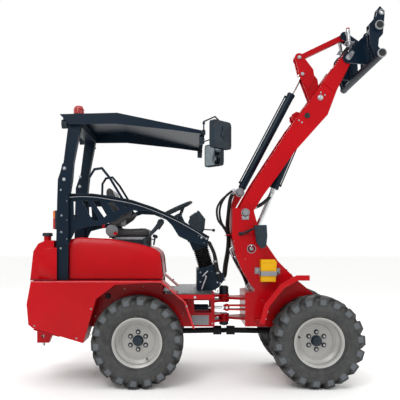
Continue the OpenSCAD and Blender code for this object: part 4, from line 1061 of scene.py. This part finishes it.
for s in (-1, 1):
    wire.tube([(x, s * y, z) for x, y, z in spline([(130, 244, 1308), (140, 262, 1308), (180, 268, 1316),
        (206, 290, 1334), (250, 318, 1358)])], 6, 12)
    wire.lathe([[10, -3], [12, 0], [18, 1], [18, 4], [10, 4], [10, -3]], (130, s * 250, 1312), (0, s, 0),
        24)
wire.done("Lamp_cables", HOSE, "front_frame")

chock, strap, tabs = shapes(3)
y0, y1 = -335, -332
chock.prism([[307, 1078], [416, 1078], [424, 1057], [307, 1057]], y0, y1)
chock.prism([[309, 930], [409, 930], [406, 893], [309, 893]], y0, y1)
chock.prism([[309, 1045], [421, 1045], [419, 989], [309, 989]], y0, y1)
chock.done("Chock_face", YELLOW, "front_frame", bevel=1.5)
for a, b in (((296, -340, 942), (446, -332, 982)), ((296, -340, 942), (302, -250, 982)),
        ((440, -340, 942), (446, -250, 982))):
    strap.box(a, b)
strap.done("Chock_strap", GREY, "front_frame", bevel=1)
tabs.prism([[258, 1011], [315, 1011], [315, 956], [258, 956]], -256, -250)
tabs.prism([[434, 1008], [484, 1008], [484, 956], [434, 956]], -256, -250)
tabs.done("Chock_tabs", GREY, "front_frame", bevel=1)
tower_zinc.hex((281, -256, 987), (0, -1, 0), 9, 6)
tower_zinc.hex((460, -256, 985), (0, -1, 0), 8, 6)

lips = Shape()
for s in (-1, 1):
    line = [(306, 544), (347, 697), (471, 851), (590, 918), (690, 918)]
    lips.tube([(x, s * 497, z) for x, z in line], 5, 10)
    lips.prism([[300, 560], [250, 560], [250, 552], [302, 544]], *sorted((s * 252, s * 300)))
lips.done("Fender_lips", RED, "front_frame")
heads(tower_bolts, [[322, 590], [338, 650]], 500, 5, 4, dome=True)

# steering joint: pin lock plates, grease points, ring seals
lock = Shape()
for z, up in ((571, 1), (823, 1), (471, -1)):
    lock.lathe(button(36, 4, 30, 7), (0, 0, z), (0, 0, up), 36)
    for k in range(3):
        a = math.radians(30 + 120 * k)
        lock.hex((24 * math.cos(a), 24 * math.sin(a), z + 6 * up), (0, 0, up), 6, 4)
lock.lathe([[25.5, -2], [40, -2], [42, 0], [40, 2], [25.5, 2], [25.5, -2]], (0, 0, 680), (0, 0, 1), 32)
lock.dome((0, -44, 790), (0, -1, 0), 6, 5)
lock.done("Hitch_pin_locks", PLASTIC, bevel=0.8)
nipples = Shape()
for x, y, z in ((-60, -60, 785), (-75, 60, 785), (60, -70, 741)):
    nipples.rod((x, y, z - 8), (x, y, z + 8), 5, 10)
for y in (-205, -120):
    nipples.hex((-112, y, 783), (0, 0, 1), 9, 8)
nipples.done("Grease_nipples", ZINC, bevel=0.5)
tower_bolts.done("Front_small_bolts", PIN, "front_frame", bevel=0.5)
tower_zinc.done("Front_zinc_bolts", ZINC, "front_frame", bevel=0.8)

# ---- boom, bellcrank and hitch -----------------------------------------------------------
skin, boom_pins, boom_zinc, boom_hole_shade = shapes(4)
skin.both([[875, 2659], [1024, 2880], [1053, 2889], [1110, 2827], [1065, 2757], [988, 2599], [974, 2590],
    [953, 2598]], 222, 228)
skin.both([[187, 1618], [259, 1729], [326, 1674], [285, 1606], [228, 1556]], 222, 226)
for s in (-1, 1):
    skin.tube([(x, s * 222.5, z) for x, z in [[868, 2660], [1024, 2889]]], 4, 8)
    skin.tube([(x, s * 222.5, z) for x, z in [[1044, 2895], [755, 2499], [608, 2307], [265, 1782],
        [183, 1638]]], 3, 8)
# a dark disc on each side face in place of the hole: painted shade
boom_hole_shade.sides(disc(26, 1), 732, 222.4, 2371)
boom_pins.sides([[26, -1], [27, 3], [31, 3], [33, -1], [26, -1]], 732, 222.4, 2371)
boom_pins.sides([[17, -2], [18, 3], [29, 3], [31, -2], [17, -2]], C[0], 223, C[1])
lug = [[628, 2376], [625, 2420], [667, 2446], [708, 2437], [711, 2363], [684, 2323]]
for y in (-60, 48):
    skin.prism(lug, y, y + 12)
heads(boom_zinc, [[854, 2579], [890, 2555]], 222, 6, 5)
heads(boom_zinc, [[658, 2329], [684, 2311]], 222, 6, 5)
heads(boom_zinc, [[C[0], C[1]]], 226, 19, 10)
skin.done("Boom_doublers", RED, "boom", bevel=1.5)
boom_hole_shade.done("Boom_hole_shade", BOOT, "boom", bevel=0.4)
boom_pins.done("Boom_rings", RED, "boom", bevel=0.8)
boom_zinc.done("Boom_bolts", ZINC, "boom", bevel=1)

crank_pins, crank_skin, link_heads = shapes(3)
for s in (-1, 1):
    link_heads.hex((K[0], s * 59, K[1]), (0, s, 0), 11, 6)
    crank_pins.hex((R[0], s * 52, R[1]), (0, s, 0), 12, 7)
link_heads.sides(button(17, 6, 13, 10), K[0], 50, K[1])
crank_skin.both([[724, 2739], [765, 2769], [847, 2776], [830, 2725], [787, 2651]], 42, 48)
crank_pins.done("Bellcrank_pin_heads", ZINC, "bellcrank", bevel=1)
link_heads.done("Link_pin_heads", ZINC, "link_pin", bevel=1)
crank_skin.done("Bellcrank_gussets", RED, "bellcrank", bevel=1.5)

keep, keep_bolts, bore_shades, hitch_edges, hitch_silver = shapes(5)
keeper(keep, keep_bolts, (H[0], H[1]), (H[0] + 36, H[1] + 42), 240, 26, 18)
keep_bolts.sides(button(16, 4, 12, 7), H[0], 245, H[1], 24)
R_TUBE = 35
for x, z, end in ((1285.3, 2820.1, 545), (1272.3, 3062.1, 525)):
    # a dark disc in each tube end: painted shade of the bore
    bore_shades.sides(disc(R_TUBE - 6, 1.5), x, end, z, 36)
    hitch_silver.sides([[R_TUBE + r, h] for r, h in ((-5, 0), (-5, 2), (1, 2), (3, 0), (3, -14), (0, -14),
        (-5, 0))],
                       x, end, z, 36)
hitch_silver.sides([[14, 0], [15, 3], [24, 3], [26, 0], [14, 0]], H[0] + 203, 495, H[1] + 297)
hitch_silver.sides(disc(22, 4), 1216, 480, 3030, 24)
for s in (-1, 1):
    hitch_silver.rod((1216, s * 436, 3030), (1216, s * 480, 3030), 22, 24)
for y in (300, 350):
    hitch_edges.both([[1250, 2838], [1292, 2856], [1296, 2910], [1266, 3028], [1240, 3050], [1226, 3040],
                      [1252, 2930]], y, y + 10)
keep.done("Hitch_keepers", PIN, "hitch", bevel=1)
keep_bolts.done("Hitch_keeper_bolts", ZINC, "hitch", bevel=0.8)
bore_shades.done("Hitch_bore_shades", BOOT, "hitch")
hitch_edges.done("Hitch_ribs", DARK, "hitch", bevel=1)
hitch_silver.done("Hitch_weld_rings", GREY, "hitch", bevel=0.6)

# quick couplers between the ears of the link
coupler, coupler_red = shapes(2)
for i, y in enumerate((-150, -100, 100, 150)):
    x = 1132 + 10 * (i % 2)
    coupler.rod((x, y, 3030), (x - 12, y, 3146), 14, 20)
    coupler.rod((x - 12, y, 3140), (x - 15, y, 3172), 19, 20)
    coupler.hex((x + 2, y, 3028), (0.1, 0, -1), 19, 22, washer=False)
    coupler_red.rod((x - 14, y, 3168), (x - 16, y, 3184), 16, 20)
for s in (-1, 1):
    coupler.box((1096, min(s * 84, s * 166), 3050), (1176, max(s * 84, s * 166), 3058))
coupler.done("Quick_couplers", ZINC, "hitch", bevel=1)
coupler_red.done("Coupler_caps", RED, "hitch", bevel=1)

# cylinders: gland nuts, ports and hard lines


def along(a, b, t, out=0.0):
    d = (Vector(b) - Vector(a)).normalized()
    p = Vector(a) + d * t + Vector((-d.y, d.x)) * out
    return p.x, p.y


def cylinder(name, body, a, b, y, r, base, end, ports):
    """Trim of a barrel lying between base and end millimetres from a towards b."""
    s = Shape()
    d = Vector(b) - Vector(a)
    dv = (d.x, 0, d.y)
    x, z = along(a, b, end - 26)
    s.lathe([[r - 2, 0], [r + 2.5, 0], [r + 2.5, 24], [r - 3, 27], [r - 2, 0]], (x, y, z), dv, 32)
    x, z = along(a, b, base)
    s.lathe([[r - 2, 0], [r + 1.5, 0], [r + 1.5, 14], [r - 2, 14], [r - 2, 0]], (x, y, z), dv, 32)
    for t in ports:
        p, q = along(a, b, t, r - 3), along(a, b, t, r + 17)
        s.rod((p[0], y, p[1]), (q[0], y, q[1]), 11, 18)
    p0, p1 = along(a, b, ports[0], r + 10), along(a, b, ports[1] - 8, r + 10)
    s.tube([(p0[0], y, p0[1]), (p1[0], y, p1[1])], 6, 12)
    s.done(name, DARK, body, bevel=0.8)


cylinder("Lift_cylinder_trim", "lift_barrel", (738.0, 2374.5), A, 0, 40, 60, 690, (100, 640))
cylinder("Tilt_cylinder_trim", "tilt_barrel", T, R, 0, 35, 60, 1046, (90, 1000))

# ---- hoses -------------------------------------------------------------------------------


def hose(name, body, line, r, across=None, fittings=(0, -1)):
    """A hydraulic hose through points, with crimped ends; given across = (a, b, start, end) it is made on
    body a, then freed from it and fixed in the world; b, start and end are not used.
    """
    pts = spline(line)
    s = Shape()
    s.tube(pts, r, 12)
    o = s.done(name, HOSE, body if across is None else across[0])
    if across:
        o.parent = None
        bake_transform(o)
    f = Shape()
    for i in fittings:
        a, b = Vector(pts[i]), Vector(pts[1 if i == 0 else -2])
        d = (b - a).normalized()
        f.rod(a, a + d * 46, r * 1.25, 18)
        f.hex(a - d * 2, d, r * 1.45, 14, washer=False)
    return f


fits_front, fits_rear = shapes(2)
bundle = [(-150, [[95, 1717], [42, 1683], [-33, 1616], [-72, 1538], [-63, 1442], [-15, 1373], [20, 1303],
    [21, 1207], [10, 1121], [-5, 1039], [-12, 973]]),
          (-118, [[80, 1702], [45, 1633], [27, 1496], [17, 1383], [32, 1294], [36, 1202], [27, 1111],
              [12, 1029], [3, 964]]),
          (-60, [[98, 1698], [66, 1637], [46, 1517], [38, 1387], [48, 1295], [50, 1202], [38, 1109],
              [25, 1026], [18, 961]]),
          (-92, [[80, 1714], [21, 1670], [-28, 1593], [-45, 1506], [-28, 1418], [14, 1349], [40, 1276],
              [38, 1184], [25, 1092], [10, 1018], [3, 963]])]
for i, (y, line) in enumerate(bundle):
    pts = [(x, y + 10 * math.sin(0.9 * k), z) for k, (x, z) in enumerate(line)]
    low = pts[-1]
    pts += [(low[0] - 6, y, low[2] - 32), (-6, y, 902)]
    hose("Tower_hose." + str(i + 1), None, pts, 10,
             across=("rear_frame", "front_frame", tuple(at(-10, y, 905)),
                 tuple(at(32, y, 1260))), fittings=())
    fits_front.rod(pts[0], (pts[0][0] - 26, y, pts[0][2] - 18), 13, 18)
    fits_rear.rod((-14, y, 900), (4, y, 903), 14, 18)
for j, (y, line) in enumerate(((-130, [[56, 1146], [90, 1067], [143, 980], [187, 876], [206, 806]]),
                               (-104, [[72, 1162], [108, 1077], [160, 986], [202, 881], [220, 813]]))):
    pts = [(x, y, z) for x, z in line]
    o = hose("Steering_hose." + str(j + 1), "front_frame", pts, 9)
    o.done("Steering_hose_ends." + str(j + 1), ZINC, "front_frame", bevel=0.6)
elbow = Shape()
for p in ((46, -130, 1175), (88, -104, 1099)):
    elbow.hex(p, (0.5, 0, -0.86), 17, 20, washer=False)
    elbow.rod(p, (p[0] + 30, p[1], p[2] + 18), 11, 16)
elbow.done("Hose_elbows", ZINC, "front_frame", bevel=1)
clamp = Shape()
clamp.tube(spline([(14, -172, 1300), (6, -150, 1298), (6, -60, 1298), (14, -36, 1300), (44, -40, 1306),
    (62, -60, 1308), (62, -150, 1308),
                   (44, -172, 1306), (14, -172, 1300)], 4), 4, 8)
clamp.done("Hose_clamp", RED, "front_frame")
fits_front.done("Hose_ends_front", ZINC, "front_frame", bevel=0.6)
fits_rear.done("Hose_ends_rear", ZINC, bevel=0.6)

for k, (y, line) in enumerate(((-120, [[431, 1715], [401, 1651], [346, 1600], [295, 1573], [240, 1564]]),
                               (-165, [[431, 1688], [402, 1632], [347, 1585], [298, 1556], [244, 1544]]))):
    hose("Lift_hose." + str(k + 1), "boom", [(x, y, z) for x, z in line], 9).done(
        "Lift_hose_ends." + str(k + 1), ZINC, "boom", bevel=0.6)
for k, y in enumerate((-150, -100, 100, 150)):
    low = [(790, y * 0.8, 2440), (872, y * 0.8, 2578), (956, y * 0.8, 2706), (1012, y * 0.85, 2798),
        (1054, y * 0.9, 2856), (1090, y * 0.9, 2888)]
    hose("Boom_hose." + str(k + 1), "boom", low, 10, fittings=())
    high = [(1086, y * 0.9, 2876), (1090, y * 0.9, 2900), (1076, y * 0.92, 2932), (1090, y * 0.98, 2980),
            (1134 + 10 * (k % 2), y, 3012)]
    hose("Coupler_hose." + str(k + 1), "hitch", high, 10, fittings=())

# driving shaft's rubber sleeve between the two halves
sleeve = Shape()
for i in range(9):
    x = -36 + 8 * i
    sleeve.lathe([[0, 0], [20, 0], [27, 4], [20, 8], [0, 8]], (x, 0, 413), (1, 0, 0), 24)
o = sleeve.done("Shaft_sleeve", BOOT)
o.parent = None
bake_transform(o)

# ---- floor, light and sky ----------------------------------------------------------------
floor = bpy.data.objects.new("floor", bpy.data.meshes.new("floor"))
floor.data.from_pydata([(-40, -40, 0), (40, -40, 0), (40, 40, 0), (-40, 40, 0)], [], [(0, 1, 2, 3)])
bpy.context.collection.objects.link(floor)
ground = Mat("studio_floor", Roughness=0.85)
ground.link(ground.mix(ground.ramp(ground.noise(1.2, 3), 0.2, 0.8), rgb("fbfbfa"), rgb("fdfdfc")),
    "Base Color")
floor.data.materials.append(ground.m)

world = bpy.data.worlds.new("studio")
bpy.context.scene.world = world
world.use_nodes = True
sky = world.node_tree
shell = sky.nodes["Background"]
up = sky.nodes.new("ShaderNodeSeparateXYZ")
sky.links.new(sky.nodes.new("ShaderNodeTexCoord").outputs["Generated"], up.inputs[0])
fade = sky.nodes.new("ShaderNodeMapRange")
fade.inputs["From Min"].default_value, fade.inputs["From Max"].default_value = -0.05, 0.8
fade.inputs["To Min"].default_value, fade.inputs["To Max"].default_value = 0.38, 1.15
sky.links.new(up.outputs[2], fade.inputs["Value"])
seen_by = sky.nodes.new("ShaderNodeLightPath")
choose = sky.nodes.new("ShaderNodeMix")
choose.inputs["B"].default_value = 1.0
sky.links.new(seen_by.outputs["Is Camera Ray"], choose.inputs["Factor"])
sky.links.new(fade.outputs[0], choose.inputs["A"])
sky.links.new(choose.outputs[0], shell.inputs[1])
shell.inputs[0].default_value = (1.0, 1.0, 1.0, 1)
bpy.context.scene.view_settings.view_transform = "Standard"


def area(name, loc, target, size, power):
    light = bpy.data.lights.new(name, "AREA")
    light.size, light.energy = size, power
    o = bpy.data.objects.new(name, light)
    bpy.context.collection.objects.link(o)
    o.location = loc
    o.rotation_euler = (Vector(target) - Vector(loc)).to_track_quat("-Z", "Y").to_euler()


area("key", (-2.5, -5.5, 6.0), (0, 0, 1.2), 3.0, 230)
area("fill", (5.0, -3.5, 3.5), (0, 0, 1.2), 3.0, 60)
area("back", (1.0, 5.5, 5.0), (0, 0, 1.5), 3.5, 120)
